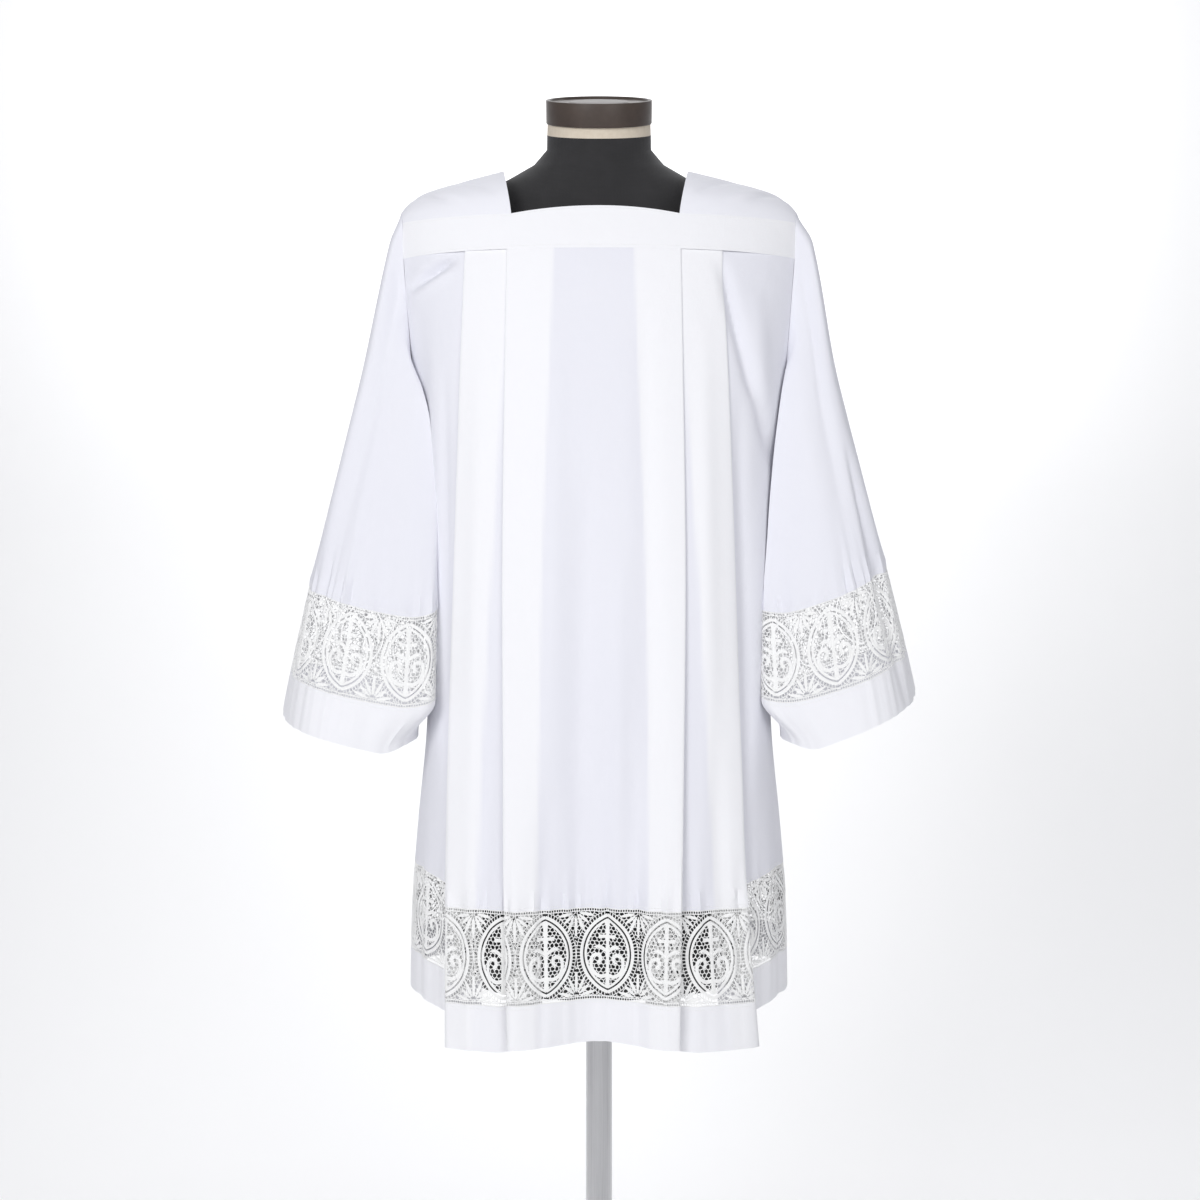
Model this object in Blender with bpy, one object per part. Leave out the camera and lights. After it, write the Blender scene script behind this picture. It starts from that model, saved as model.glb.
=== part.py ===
"""A square-necked surplice with lace bands, standing on a limbless tailor's dress form."""

import math

import bmesh
import bpy
import numpy as np
from mathutils import Matrix, Vector

# Driving dimensions, in metres. X is to the viewer's right, -Y is the front, Z is up.
CLOTH = 0.0010  # wall of the single cloth
YOKE = 0.0016  # wall of the doubled cloth of bands and straps
SEAM = 0.0003  # gap between two pieces at a seam

BAND_TOP = 1.370
BAND_ARCH = 0.008  # how far the neckline's front edge rises in its middle
BAND_BOTTOM = 1.330
BAND_END = 0.218  # half the width across the band, armhole to armhole
BAND_HALF_WIDTH = 0.236  # half the width of the body's oval behind the band
PLEAT_TOP_STEP = 0.0016  # the step from one pleat layer to the next at the band
BAND_SEAM_LEFT = 0.142  # upright seams of the front band, out from the middle
BAND_SEAM_RIGHT = 0.135
NECK_CORNER = {-1: 0.0955, 1: 0.0875}  # the neckline's corners, out from the middle
NECK_SIDE = {-1: 0.1075, 1: 0.1005}  # its sides on top of the shoulders
NECK_TOP = 1.4335
SHOULDER_END = 1.3865
SHOULDER_HALF = 0.2225
SHOULDER_SLOPE = 0.62  # share of its fall that the shoulder line makes evenly
SHOULDER_POWER = 10  # how late the rest comes, at the round end of the shoulder
UNDERARM = 1.120
# The lines round the body: the height at the folds of the centre panel, and how much
# higher the line hangs in the middle, on the side pleats, where the side starts behind
# them, and at the side seam.
LINE_COLUMNS = ("name", "height", "middle", "pleat", "turn", "side")
LINES = (
    ("lace_top", 0.6220, 0.001, -0.001, 0.013, 0.034),
    ("lace_bottom", 0.5235, 0.002, -0.004, 0.020, 0.037),
    ("hem", 0.4780, 0.003, -0.006, 0.022, 0.039),
)

# The plan of the body at each height: half width, the y of the side seams, how far the
# front and the back reach from there, and the power of the superellipse.
BODY_COLUMNS = ("height", "half_width", "mid_y", "front", "back", "power")
BODY = (
    (0.460, 0.2160, 0.050, 0.190, 0.150, 3.20),
    (0.620, 0.2125, 0.042, 0.178, 0.146, 3.00),
    (0.700, 0.2060, 0.036, 0.168, 0.142, 3.10),
    (0.800, 0.1960, 0.028, 0.156, 0.138, 3.15),
    (0.900, 0.1920, 0.018, 0.146, 0.135, 3.10),
    (1.000, 0.1955, 0.010, 0.138, 0.130, 2.90),
    (1.120, 0.2030, 0.002, 0.128, 0.122, 2.60),
    (1.250, 0.2210, 0.000, 0.117, 0.112, 2.35),
    (1.335, 0.2360, 0.000, 0.105, 0.105, 2.20),
    (1.380, 0.2440, 0.000, 0.094, 0.094, 2.15),
)

# The pleats at each height: where the two folds of each side lie, out from the middle,
# how far the cloth turns back under a fold, the step from one layer to the next, and how
# far the middle of the centre panel lies back.
PLEAT_COLUMNS = (
    "height", "left_1", "left_2", "right_1", "right_2", "under", "step", "hollow",
)
FRONT_PLEATS = (
    (0.460, 0.0890, 0.155, 0.0780, 0.163, 0.026, 0.0070, 0.034),
    (0.630, 0.0940, 0.157, 0.0820, 0.151, 0.030, 0.0060, 0.026),
    (0.800, 0.0975, 0.157, 0.0865, 0.148, 0.035, 0.0045, 0.008),
    (0.970, 0.1000, 0.154, 0.0895, 0.145, 0.040, 0.0032, 0.002),
    (1.200, 0.0995, 0.149, 0.0885, 0.138, 0.047, 0.0020, 0.000),
    (1.335, 0.0985, 0.145, 0.0875, 0.133, 0.050, 0.0016, 0.000),
)
BACK_PLEATS = (
    (0.460, 0.0860, 0.150, 0.0880, 0.154, 0.027, 0.0065, 0.020),
    (0.630, 0.0890, 0.149, 0.0900, 0.152, 0.030, 0.0055, 0.014),
    (0.970, 0.0930, 0.147, 0.0930, 0.148, 0.040, 0.0032, 0.000),
    (1.335, 0.0930, 0.140, 0.0930, 0.140, 0.050, 0.0016, 0.000),
)

# The cuff's ring, an oval turned in plan and dropped towards the body and the front, how
# far the sleeve's outer line bulges, and how far its head stands out past the shoulder.
CUFF_COLUMNS = (
    "side", "mid_x", "mid_y", "mid_z", "half_x", "half_y", "turn", "rise_x", "rise_y",
    "bulge", "cap",
)
CUFFS = (
    (-1, 0.2820, -0.012, 0.8030, 0.074, 0.110, 12.0, 0.27, 0.06, 0.005, 0.005),
    (+1, 0.2825, -0.012, 0.8150, 0.074, 0.110, 12.0, 0.42, 0.06, 0.003, 0.010),
)
CUFF_POWER = 2.7
CUFF_INNER_RISE = 0.020  # how much the cuff's edge lifts where it passes the body
SLEEVE_FRONT = 0.036  # how far the sleeve's front fold swings in before the body
SLEEVE_FRONT_ANGLE = 122  # where round the sleeve that fold is, in degrees from outside
SLEEVE_CLEAR = 0.007  # how far the sleeve keeps off the body below the armhole
CLEAR_UP_TO = 1.250  # above this the sleeve closes onto its armhole
SLEEVE_HEM = 0.050
SLEEVE_LACE = 0.099

# Sections of the dress form, bottom to top.
FORM_COLUMNS = ("height", "half_width", "half_depth", "mid_y", "tilt", "power")
FORM = (
    (0.508, 0.140, 0.094, 0.028, 0, 2.2),
    (0.520, 0.150, 0.102, 0.028, 0, 2.2),
    (0.640, 0.159, 0.107, 0.026, 0, 2.2),
    (0.750, 0.168, 0.113, 0.022, 0, 2.2),
    (0.860, 0.172, 0.116, 0.020, 0, 2.2),
    (0.960, 0.158, 0.104, 0.014, 0, 2.2),
    (1.060, 0.152, 0.098, 0.006, 0, 2.2),
    (1.160, 0.166, 0.104, 0.000, 0, 2.2),
    (1.250, 0.180, 0.101, 0.000, 0, 2.2),
    (1.320, 0.188, 0.092, 0.000, 0, 2.2),
    (1.366, 0.183, 0.081, 0.002, 0, 2.2),
    (1.393, 0.161, 0.072, 0.003, 0, 2.1),
    (1.414, 0.133, 0.064, 0.003, 2, 2.0),
    (1.429, 0.102, 0.058, 0.000, 6, 2.0),
    (1.445, 0.074, 0.055, -0.003, 11, 2.0),
    (1.460, 0.060, 0.055, -0.006, 17, 2.0),
    (1.478, 0.059, 0.0558, -0.0085, 19, 2.0),
    (1.4905, 0.0585, 0.0565, -0.010, 20, 2.0),
)
COVER_TOP = 1.478  # the row of FORM where the cover ends round the neck
CAP_RADIUS = 0.060
CAP_HEIGHT = 0.026
CAP_LIP = 0.005  # width of the rim round the cap's sunk top
CAP_SUNK = 0.003
POLE_RADIUS = 0.0150
BASE_RADIUS = 0.190
BASE_EDGE = 0.008
BASE_DOME = 0.022  # height of the base at its middle
BASE_SOCKET_RADIUS = 0.028
BASE_SOCKET_TOP = 0.060
STAND_Y = 0.026  # the pole and base stand under the middle of the form


def clear_scene():
    for item in list(bpy.data.objects):
        bpy.data.objects.remove(item, do_unlink=True)


def material(name, colour, roughness, metallic=0.0):
    made = bpy.data.materials.new(name)
    made.use_nodes = True
    shader = made.node_tree.nodes["Principled BSDF"]
    shader.inputs["Base Color"].default_value = (*colour, 1.0)
    shader.inputs["Roughness"].default_value = roughness
    shader.inputs["Metallic"].default_value = metallic
    made.diffuse_color = (*colour, 1.0)
    return made


def smooth(rows, names, name, at):
    """A table's column at the values `at` of its first column, on a smooth curve."""
    data = np.array(rows, float)
    key = data[:, 0]
    value = data[:, names.index(name)]
    slope = np.gradient(value, key)
    at = np.clip(np.asarray(at, float), key[0], key[-1])
    low = np.clip(np.searchsorted(key, at, side="right") - 1, 0, len(key) - 2)
    span = key[low + 1] - key[low]
    t = (at - key[low]) / span
    return (
        (2 * t**3 - 3 * t**2 + 1) * value[low]
        + (t**3 - 2 * t**2 + t) * span * slope[low]
        + (3 * t**2 - 2 * t**3) * value[low + 1]
        + (t**3 - t**2) * span * slope[low + 1]
    )


def body(name, z):
    return smooth(BODY, BODY_COLUMNS, name, z)


def guide(angle, lift, z, face):
    """Points on the body's oval at an angle from the middle of the front (face -1) or of
    the back (face +1), lifted off it along its normal. All arguments may be arrays."""
    power = body("power", z)
    width = body("half_width", z)
    depth = body("front" if face < 0 else "back", z)
    across = np.sin(angle) ** (2 / power)
    along = np.cos(angle) ** (2 / power)
    normal_x = across ** (power - 1) / width
    normal_y = along ** (power - 1) / depth
    length = np.hypot(normal_x, normal_y)
    x = width * across + lift * normal_x / length
    y = depth * along + lift * normal_y / length
    return np.stack([x, body("mid_y", z) + face * y, z * np.ones_like(x)], axis=-1)


def angle_at(x, z):
    """The angle on the oval at which it is x out from the middle."""
    share = np.clip(x / body("half_width", z), 0, 1)
    return np.arcsin(share ** (body("power", z) / 2))


def ease(t):
    t = np.clip(t, 0, 1)
    return t * t * (3 - 2 * t)


def band_end_at(z):
    """How far out the band's end comes, carried down the body in proportion."""
    return BAND_END / BAND_HALF_WIDTH * body("half_width", z)


def half_columns(pleats, side, z_rows, face):
    """One half of a pleated panel: a list of columns from the middle to the side seam,
    each a list of points, one for each row. z_rows(column kind, share) gives the heights."""
    names = PLEAT_COLUMNS
    hand = "left" if side < 0 else "right"

    def at(name, z):
        return smooth(pleats, names, name, z)

    columns = []

    def add(kind, share, x_of, lift_of):
        z = z_rows(kind, share)
        x = x_of(z)
        sag = np.cos(0.5 * np.pi * np.clip(x / at(f"{hand}_1", z), 0, 1)) ** 2
        lift = lift_of(z) - at("hollow", z) * sag
        columns.append(guide(angle_at(x, z), lift, z, face) * np.array([side, 1, 1]))

    def layer(kind, x_from, x_to, lift_of, shares, row_share=None):
        for share in shares:
            place = share if row_share is None else row_share
            add(kind, place, lambda z, s=share: (1 - s) * x_from(z) + s * x_to(z), lift_of)

    def turn(kind, x_of, middle, outward, row_share=1):
        """A round fold from one layer to the next one down."""
        for degrees in (60, 0, -60):
            turned = math.radians(degrees)
            reach = 0.5 * outward * math.cos(turned)
            rise = 0.5 * math.sin(turned)
            add(
                kind,
                row_share,
                lambda z, r=reach: x_of(z) + r * at("step", z),
                lambda z, r=rise: (middle + r) * at("step", z),
            )

    def fold_1(z):
        return at(f"{hand}_1", z)

    def fold_2(z):
        return at(f"{hand}_2", z)

    def inner_1(z):
        return fold_1(z) - at("under", z)

    def inner_2(z):
        return fold_2(z) - at("under", z)

    def steps(count):
        return lambda z: count * at("step", z)

    layer("centre", lambda z: 0 * z, fold_1, steps(4), (0, 0.3, 0.55, 0.8, 0.98))
    turn("centre", fold_1, 3.5, 1)
    layer("centre", fold_1, inner_1, steps(3), (0.05, 0.95), 1)
    turn("centre", inner_1, 2.5, -1)
    layer("pleat", inner_1, fold_2, steps(2), (0.05, 0.4, 0.7, 0.97))
    turn("pleat", fold_2, 1.5, 1)
    layer("under", fold_2, inner_2, steps(1), (0.05, 0.95))
    turn("side", inner_2, 0.5, -1, 0)
    for share in (0.05, 0.35, 0.7, 1.0):
        z = z_rows("side", share)
        start = angle_at(inner_2(z), z)
        end = angle_at(band_end_at(z), z)
        points = guide(start + share * (end - start), 0 * z, z, face)
        columns.append(points * np.array([side, 1, 1]))
    for share in ARMHOLE_SHARES[1:]:
        z = z_rows("arm", share)
        columns.append(guide(arm_angle(share, z), 0 * z, z, face) * np.array([side, 1, 1]))
    return columns


ARMHOLE_SHARES = (0, 0.22, 0.45, 0.72, 1.0)


def arm_angle(share, z):
    """The angle of a column of the side, from the band's end (share 0) to the seam (1)."""
    start = angle_at(band_end_at(z), z)
    return start + share * (math.pi / 2 - start)


def arm_top(share):
    """The height of the armhole's edge on that column."""
    return BAND_BOTTOM - (BAND_BOTTOM - UNDERARM) * math.sin(0.5 * math.pi * share)


def level(name, kind, share):
    """The height of a seam or hem line on a column of the body."""
    line = next(dict(zip(LINE_COLUMNS, row)) for row in LINES if row[0] == name)
    if kind == "centre":
        return line["height"] + line["middle"] * math.cos(0.5 * math.pi * share) ** 2
    if kind == "pleat":
        return line["height"] + line["pleat"] * ease(2 * share)
    if kind == "under":
        return line["height"] + line["pleat"] + share * (line["turn"] - line["pleat"])
    if kind == "side":
        return line["height"] + line["turn"] + share * (line["side"] - line["turn"])
    return line["height"] + line["side"]


def panel_rows(top, bottom, shares):
    """z_rows for half_columns, between the lines named top and bottom."""

    def line(name, kind, share):
        if name != "top":
            return level(name, kind, share)
        return arm_top(share) if kind == "arm" else BAND_BOTTOM

    def rows(kind, share):
        high = line(top, kind, share) - SEAM / 2
        low = line(bottom, kind, share) + (SEAM / 2 if bottom != "hem" else 0)
        return high + (low - high) * np.array(shares)

    return rows


def pleated(pleats, face, top, bottom, shares):
    """The grid of a whole pleated piece, rows by columns, from side seam to side seam."""
    z_rows = panel_rows(top, bottom, shares)
    left = half_columns(pleats, -1, z_rows, face)
    right = half_columns(pleats, +1, z_rows, face)
    grid = np.stack(left[::-1] + right[1:], axis=1)
    return open_side_seam(grid, face)


def open_side_seam(grid, face):
    """Draws the front and back pieces back from each other by half a seam's gap."""
    grid = grid.copy()
    grid[:, 0, 1] += face * SEAM / 2
    grid[:, -1, 1] += face * SEAM / 2
    return grid


def normals(grid, ring, level_rows):
    """Unit vectors across the wall, kept level on the rows where it meets another piece."""
    if ring:
        along = np.roll(grid, -1, axis=1) - np.roll(grid, 1, axis=1)
    else:
        along = np.gradient(grid, axis=1)
    down = np.gradient(grid, axis=0)
    for row in range(len(grid)) if level_rows == "all" else level_rows:
        along[row, :, 2] = 0
        down[row] = (0, 0, -1 if down[row, 0, 2] < 0 else 1)
    across = np.cross(along, down)
    return across / np.linalg.norm(across, axis=2, keepdims=True)


def wall(name, grid, thickness, finish, ring=False, level_rows=()):
    """A closed wall round a grid of points; a ring joins its last column to its first."""
    half = normals(grid, ring, level_rows) * thickness / 2
    sides = (grid + half, grid - half)
    rows, count = grid.shape[:2]
    mesh = bmesh.new()
    verts = [[[mesh.verts.new(p) for p in row] for row in side] for side in sides]
    last = count if ring else count - 1
    for r in range(rows - 1):
        for c in range(last):
            n = (c + 1) % count
            for side in verts:
                mesh.faces.new((side[r][c], side[r + 1][c], side[r + 1][n], side[r][n]))
    for c in range(last):
        n = (c + 1) % count
        for r in (0, rows - 1):
            mesh.faces.new((verts[0][r][c], verts[0][r][n], verts[1][r][n], verts[1][r][c]))
    if not ring:
        for r in range(rows - 1):
            for c in (0, count - 1):
                mesh.faces.new(
                    (verts[0][r][c], verts[0][r + 1][c], verts[1][r + 1][c], verts[1][r][c])
                )
    return finish_object(name, mesh, finish)


def finish_object(name, mesh, finish, soft_angle=40):
    bmesh.ops.recalc_face_normals(mesh, faces=mesh.faces)
    if mesh.calc_volume(signed=True) < 0:
        bmesh.ops.reverse_faces(mesh, faces=mesh.faces)
    for face in mesh.faces:
        face.smooth = True
    for edge in mesh.edges:
        if len(edge.link_faces) == 2:
            edge.smooth = edge.calc_face_angle(0) < math.radians(soft_angle)
    data = bpy.data.meshes.new(name)
    mesh.to_mesh(data)
    mesh.free()
    made = bpy.data.objects.new(name, data)
    bpy.context.scene.collection.objects.link(made)
    data.materials.append(finish)
    return made


def band_point(x, z, face):
    """A point on the neck band: proud of the pleats, and flush at the armholes."""
    proud = 4 * PLEAT_TOP_STEP * (1 - ease((abs(x) - 0.11) / 0.10))
    point = guide(angle_at(abs(x), z), proud, z, face)
    return point * np.array([1 if x > 0 else -1, 1, 1])


def band_top(x, face):
    """The top edge of a band: level at the straps, arched along the front neckline."""
    corner = NECK_CORNER[1 if x > 0 else -1]
    arch = BAND_ARCH if face < 0 else BAND_ARCH / 2
    return BAND_TOP + arch * max(0.0, 1 - (x / corner) ** 2)


def band(name, x_from, x_to, face, finish, count):
    corners = [side * NECK_CORNER[side] for side in (-1, 1)]
    inside = [x for x in corners if x_from < x < x_to]
    xs = sorted([*np.linspace(x_from, x_to, count), *inside])
    grid = np.empty((3, len(xs), 3))
    for c, x in enumerate(xs):
        top = band_top(x, face) - SEAM / 2
        bottom = BAND_BOTTOM + SEAM / 2
        for r, z in enumerate((top, (top + bottom) / 2, bottom)):
            grid[r, c] = band_point(x, z, face)
    return wall(name, grid, YOKE, finish, level_rows="all")


def shoulder_height(x, neck_side):
    t = np.clip((x - neck_side) / (SHOULDER_HALF - neck_side), 0, 1)
    fall = SHOULDER_SLOPE * t + (1 - SHOULDER_SLOPE) * t**SHOULDER_POWER
    return NECK_TOP - (NECK_TOP - SHOULDER_END) * fall


def strap_point(share, turn, side):
    """A point on a shoulder strap, as if on the right: share 0 at the neckline, 1 at the
    armhole; turn 0 at the front band, 1 at the back band."""
    over = math.sin(math.pi * turn)
    neck = NECK_CORNER[side] + (NECK_SIDE[side] - NECK_CORNER[side]) * over
    end = BAND_END + (SHOULDER_HALF - BAND_END) * over
    x = neck + share * (end - neck)
    edge = BAND_TOP + SEAM / 2
    front = band_point(x, edge, -1)
    back = band_point(x, edge, +1)
    y = (front[1] + back[1]) / 2 - (back[1] - front[1]) / 2 * math.cos(math.pi * turn)
    top = shoulder_height(x, NECK_SIDE[side])
    return np.array([x * side, y, edge + (top - edge) * over**0.8])


def strap(name, side, finish):
    turns = (0, 0.07, 0.17, 0.3, 0.42, 0.5, 0.58, 0.7, 0.83, 0.93, 1)
    shares = (0, 0.3, 0.6, 0.8, 0.92, 1)
    grid = np.array([[strap_point(s, t, side) for s in shares] for t in turns])
    return wall(name, grid, YOKE, finish, level_rows=(0, -1))


def resample(points, count):
    """That many points evenly along a path, its ends included."""
    points = np.array(points)
    run = np.concatenate([[0], np.cumsum(np.linalg.norm(np.diff(points, axis=0), axis=1))])
    at = np.linspace(0, run[-1], count)
    return np.stack([np.interp(at, run, points[:, k]) for k in range(3)], axis=1)


def armhole(side, count):
    """The armhole's ring: down the front from the shoulder, and up the back."""
    halves = []
    for face in (-1, 1):
        turns = np.linspace(0.5, 0.0, 8)
        path = [strap_point(1, t if face < 0 else 1 - t, side) for t in turns]
        for share in np.linspace(0, 1, 14):
            top = np.array(arm_top(share))
            point = guide(arm_angle(share, top), 0 * top, top, face)
            path.append(point * np.array([side, 1, 1]))
        halves.append(resample(path, count // 2 + 1))
    ring = np.concatenate([halves[0], halves[1][-2:0:-1]])
    ring[:, 0] += side * (CLOTH + SEAM + 0.0004)
    return ring


def cuff(row, count):
    """The ring of the cuff's edge, from its outermost point round by the front."""
    value = dict(zip(CUFF_COLUMNS, row))
    angles = np.arange(count) * 2 * math.pi / count
    power = 2 / CUFF_POWER
    cos, sin = np.cos(angles), np.sin(angles)
    u = value["half_x"] * np.sign(cos) * np.abs(cos) ** power
    v = -value["half_y"] * np.sign(sin) * np.abs(sin) ** power
    turn = math.radians(value["turn"])
    x = u * math.cos(turn) + v * math.sin(turn)
    y = v * math.cos(turn) - u * math.sin(turn)
    z = value["mid_z"] + value["rise_x"] * x + value["rise_y"] * y
    z = z + CUFF_INNER_RISE * ease((-x / value["half_x"] - 0.6) / 0.6)
    x = value["mid_x"] + x
    return np.stack([x * value["side"], value["mid_y"] + y, z], axis=1)


def clear_of_body(points, clearance):
    """Pushes points of a sleeve below the shoulder out to a clearance from the body."""
    x, y, z = points.T
    middle, power = body("mid_y", z), body("power", z)
    width = body("half_width", z) + clearance
    depth = np.where(y < middle, body("front", z), body("back", z)) + clearance
    place = (np.abs(x) / width) ** power + (np.abs(y - middle) / depth) ** power
    out = np.where(place < 1, place ** (-1 / power), 1.0)
    out = out + (1 - out) * ease((z - CLEAR_UP_TO) / (BAND_BOTTOM - CLEAR_UP_TO))
    return np.stack([x * out, middle + (y - middle) * out, z], axis=1)


def sleeve_grid(row, high, low, shares, count=24):
    """Rows of a sleeve between two distances from its hem; None is the armhole."""
    top = armhole(row[0], count)
    bottom = cuff(row, count)
    length = np.linalg.norm(top - bottom, axis=1)
    far = length if high is None else np.full(count, high)
    angles = np.arange(count) * 2 * math.pi / count
    outer = 0.5 + 0.5 * np.cos(angles)
    fold = np.clip(np.cos(angles - math.radians(SLEEVE_FRONT_ANGLE)), 0, 1) ** 8
    rows = []
    for share in shares:
        up = (far + (low - far) * share) / length
        points = bottom + (top - bottom) * up[:, None]
        bulge = row[-2] * np.sin(np.pi * up**0.7)
        cap = row[-1] * ease((1 - up) / 0.06) * (1 - ease((0.94 - up) / 0.30))
        points[:, 0] += row[0] * outer * (bulge + cap)
        swing = fold * ease(up / 0.12) * ease((1 - up) / 0.16)
        points[:, 0] -= row[0] * SLEEVE_FRONT * swing
        points = clear_of_body(points, SLEEVE_CLEAR * ease((1 - up) / 0.08))
        rows.append(points)
    return np.array(rows)


def sleeve(row, hand, cloth, lace):
    lace_top = SLEEVE_HEM + SLEEVE_LACE
    shares = (0, 0.15, 0.4, 0.7, 1)
    main = sleeve_grid(row, None, lace_top + SEAM / 2, shares)
    wall(f"sleeve_{hand}", main, CLOTH, cloth, ring=True)
    middle = sleeve_grid(row, lace_top - SEAM / 2, SLEEVE_HEM + SEAM / 2, (0, 1))
    wall(f"sleeve_lace_{hand}", middle, CLOTH, lace, ring=True)
    hem = sleeve_grid(row, SLEEVE_HEM - SEAM / 2, 0, (0, 1))
    wall(f"sleeve_hem_{hand}", hem, CLOTH, cloth, ring=True)


def body_panels(cloth, lace):
    shares = (0, 0.08, 0.2, 0.38, 0.58, 0.8, 1)
    for hand, pleats, face in (("front", FRONT_PLEATS, -1), ("back", BACK_PLEATS, 1)):
        main = pleated(pleats, face, "top", "lace_top", shares)
        wall(f"{hand}_panel", main, CLOTH, cloth, level_rows="all")
        middle = pleated(pleats, face, "lace_top", "lace_bottom", (0, 1))
        wall(f"{hand}_lace", middle, CLOTH, lace, level_rows="all")
        hem = pleated(pleats, face, "lace_bottom", "hem", (0, 1))
        wall(f"{hand}_hem", hem, CLOTH, cloth, level_rows="all")


def bands(cloth):
    left = -BAND_SEAM_LEFT
    right = BAND_SEAM_RIGHT
    half = SEAM / 2
    band("front_band_left", -BAND_END, left - half, -1, cloth, 5)
    band("front_band_centre", left + half, right - half, -1, cloth, 11)
    band("front_band_right", right + half, BAND_END, -1, cloth, 5)
    band("back_band", -BAND_END, BAND_END, 1, cloth, 17)
    strap("strap_left", -1, cloth)
    strap("strap_right", 1, cloth)


def section(height, half_width, half_depth, mid_y, tilt, power, count=32):
    """One level ring of the form, tipped forward by its tilt."""
    angles = np.arange(count) * 2 * math.pi / count
    cos, sin = np.cos(angles), np.sin(angles)
    x = half_width * np.sign(cos) * np.abs(cos) ** (2 / power)
    y = half_depth * np.sign(sin) * np.abs(sin) ** (2 / power)
    z = height + y * math.sin(math.radians(tilt))
    return np.stack([x, mid_y + y * math.cos(math.radians(tilt)), z], axis=1)


def form_solid(name, low_end, high_end, finish):
    """The form between two heights, as a closed loft with two rings to each row."""
    mesh = bmesh.new()
    rings = []
    heights = [row[0] for row in FORM if low_end <= row[0] <= high_end]
    heights[0], heights[-1] = heights[0] + SEAM / 2, heights[-1] - SEAM / 2
    levels = sorted(heights + [(a + b) / 2 for a, b in zip(heights, heights[1:])])
    for height in levels:
        values = [float(smooth(FORM, FORM_COLUMNS, name, height)) for name in FORM_COLUMNS]
        values[0] = height
        rings.append([mesh.verts.new(point) for point in section(*values)])
    count = len(rings[0])
    for low, high in zip(rings, rings[1:]):
        for c in range(count):
            n = (c + 1) % count
            mesh.faces.new((low[c], low[n], high[n], high[c]))
    mesh.faces.new(rings[0][::-1])
    mesh.faces.new(rings[-1])
    return finish_object(name, mesh, finish, 50)


def turned(name, profile, place, finish, steps=40):
    """A solid turned round its own Z from (radius, height) pairs that start on the axis
    and end on it, put in its place by a matrix."""
    mesh = bmesh.new()
    rings = []
    for radius, height in profile:
        if radius == 0:
            rings.append([mesh.verts.new(place @ Vector((0, 0, height)))])
            continue
        ring = []
        for k in range(steps):
            angle = 2 * math.pi * k / steps
            point = Vector((radius * math.cos(angle), radius * math.sin(angle), height))
            ring.append(mesh.verts.new(place @ point))
        rings.append(ring)
    for low, high in zip(rings, rings[1:]):
        for k in range(steps):
            corners = [ring[at % len(ring)] for ring, at in
                       ((low, k), (low, (k + 1) % steps), (high, (k + 1) % steps), (high, k))]
            mesh.faces.new(list(dict.fromkeys(corners)))
    return finish_object(name, mesh, finish, 30)


def form_neck_cap(finish):
    neck = dict(zip(FORM_COLUMNS, FORM[-1]))
    tilt = math.radians(neck["tilt"])
    place = (
        Matrix.Translation((0, neck["mid_y"], neck["height"]))
        @ Matrix.Rotation(tilt, 4, "X")
        @ Matrix.Translation((0, 0, SEAM))
    )
    soft = 0.0015
    profile = (
        (0, 0),
        (CAP_RADIUS - soft, 0),
        (CAP_RADIUS, soft),
        (CAP_RADIUS, CAP_HEIGHT - soft),
        (CAP_RADIUS - soft, CAP_HEIGHT),
        (CAP_RADIUS - CAP_LIP, CAP_HEIGHT),
        (CAP_RADIUS - CAP_LIP - CAP_SUNK / 2, CAP_HEIGHT - CAP_SUNK),
        (0, CAP_HEIGHT - CAP_SUNK),
    )
    return turned("form_neck_cap", profile, place, finish)


def stand(metal, enamel):
    place = Matrix.Translation((0, STAND_Y, 0))
    top = FORM[0][0] - SEAM / 2
    soft = 0.001
    profile = (
        (0, BASE_SOCKET_TOP + SEAM),
        (POLE_RADIUS - soft, BASE_SOCKET_TOP + SEAM),
        (POLE_RADIUS, BASE_SOCKET_TOP + SEAM + soft),
        (POLE_RADIUS, top),
        (0, top),
    )
    turned("form_pole", profile, place, metal, 24)
    profile = (
        (0, 0),
        (BASE_RADIUS - 0.002, 0),
        (BASE_RADIUS, 0.002),
        (BASE_RADIUS, BASE_EDGE - 0.002),
        (BASE_RADIUS - 0.003, BASE_EDGE),
        (BASE_RADIUS * 0.62, BASE_EDGE + 0.45 * (BASE_DOME - BASE_EDGE)),
        (BASE_SOCKET_RADIUS + 0.012, BASE_DOME),
        (BASE_SOCKET_RADIUS, BASE_DOME + 0.010),
        (BASE_SOCKET_RADIUS, BASE_SOCKET_TOP - 0.004),
        (BASE_SOCKET_RADIUS - 0.004, BASE_SOCKET_TOP),
        (0, BASE_SOCKET_TOP),
    )
    turned("form_base", profile, place, enamel, 64)


def main():
    clear_scene()
    cloth = material("surplice_cloth", (0.93, 0.93, 0.95), 0.8)
    lace = material("surplice_lace", (0.95, 0.95, 0.95), 0.85)
    cover = material("form_cover", (0.035, 0.035, 0.038), 0.85)
    linen = material("form_linen", (0.80, 0.72, 0.61), 0.85)
    cap = material("form_cap", (0.10, 0.075, 0.06), 0.35)
    metal = material("stand_pole", (0.55, 0.55, 0.56), 0.3, 1.0)
    enamel = material("stand_base", (0.05, 0.05, 0.055), 0.4)
    bands(cloth)
    body_panels(cloth, lace)
    for row, hand in zip(CUFFS, ("left", "right")):
        sleeve(row, hand, cloth, lace)
    form_solid("form_body", FORM[0][0], COVER_TOP, cover)
    form_solid("form_neck", COVER_TOP, FORM[-1][0], linen)
    form_neck_cap(cap)
    stand(metal, enamel)


main()
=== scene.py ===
"""The looks of a square-necked surplice with lace bands, on a limbless dress form."""

import math

import bmesh
import bpy
import numpy as np
from mathutils import Matrix, Vector


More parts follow.
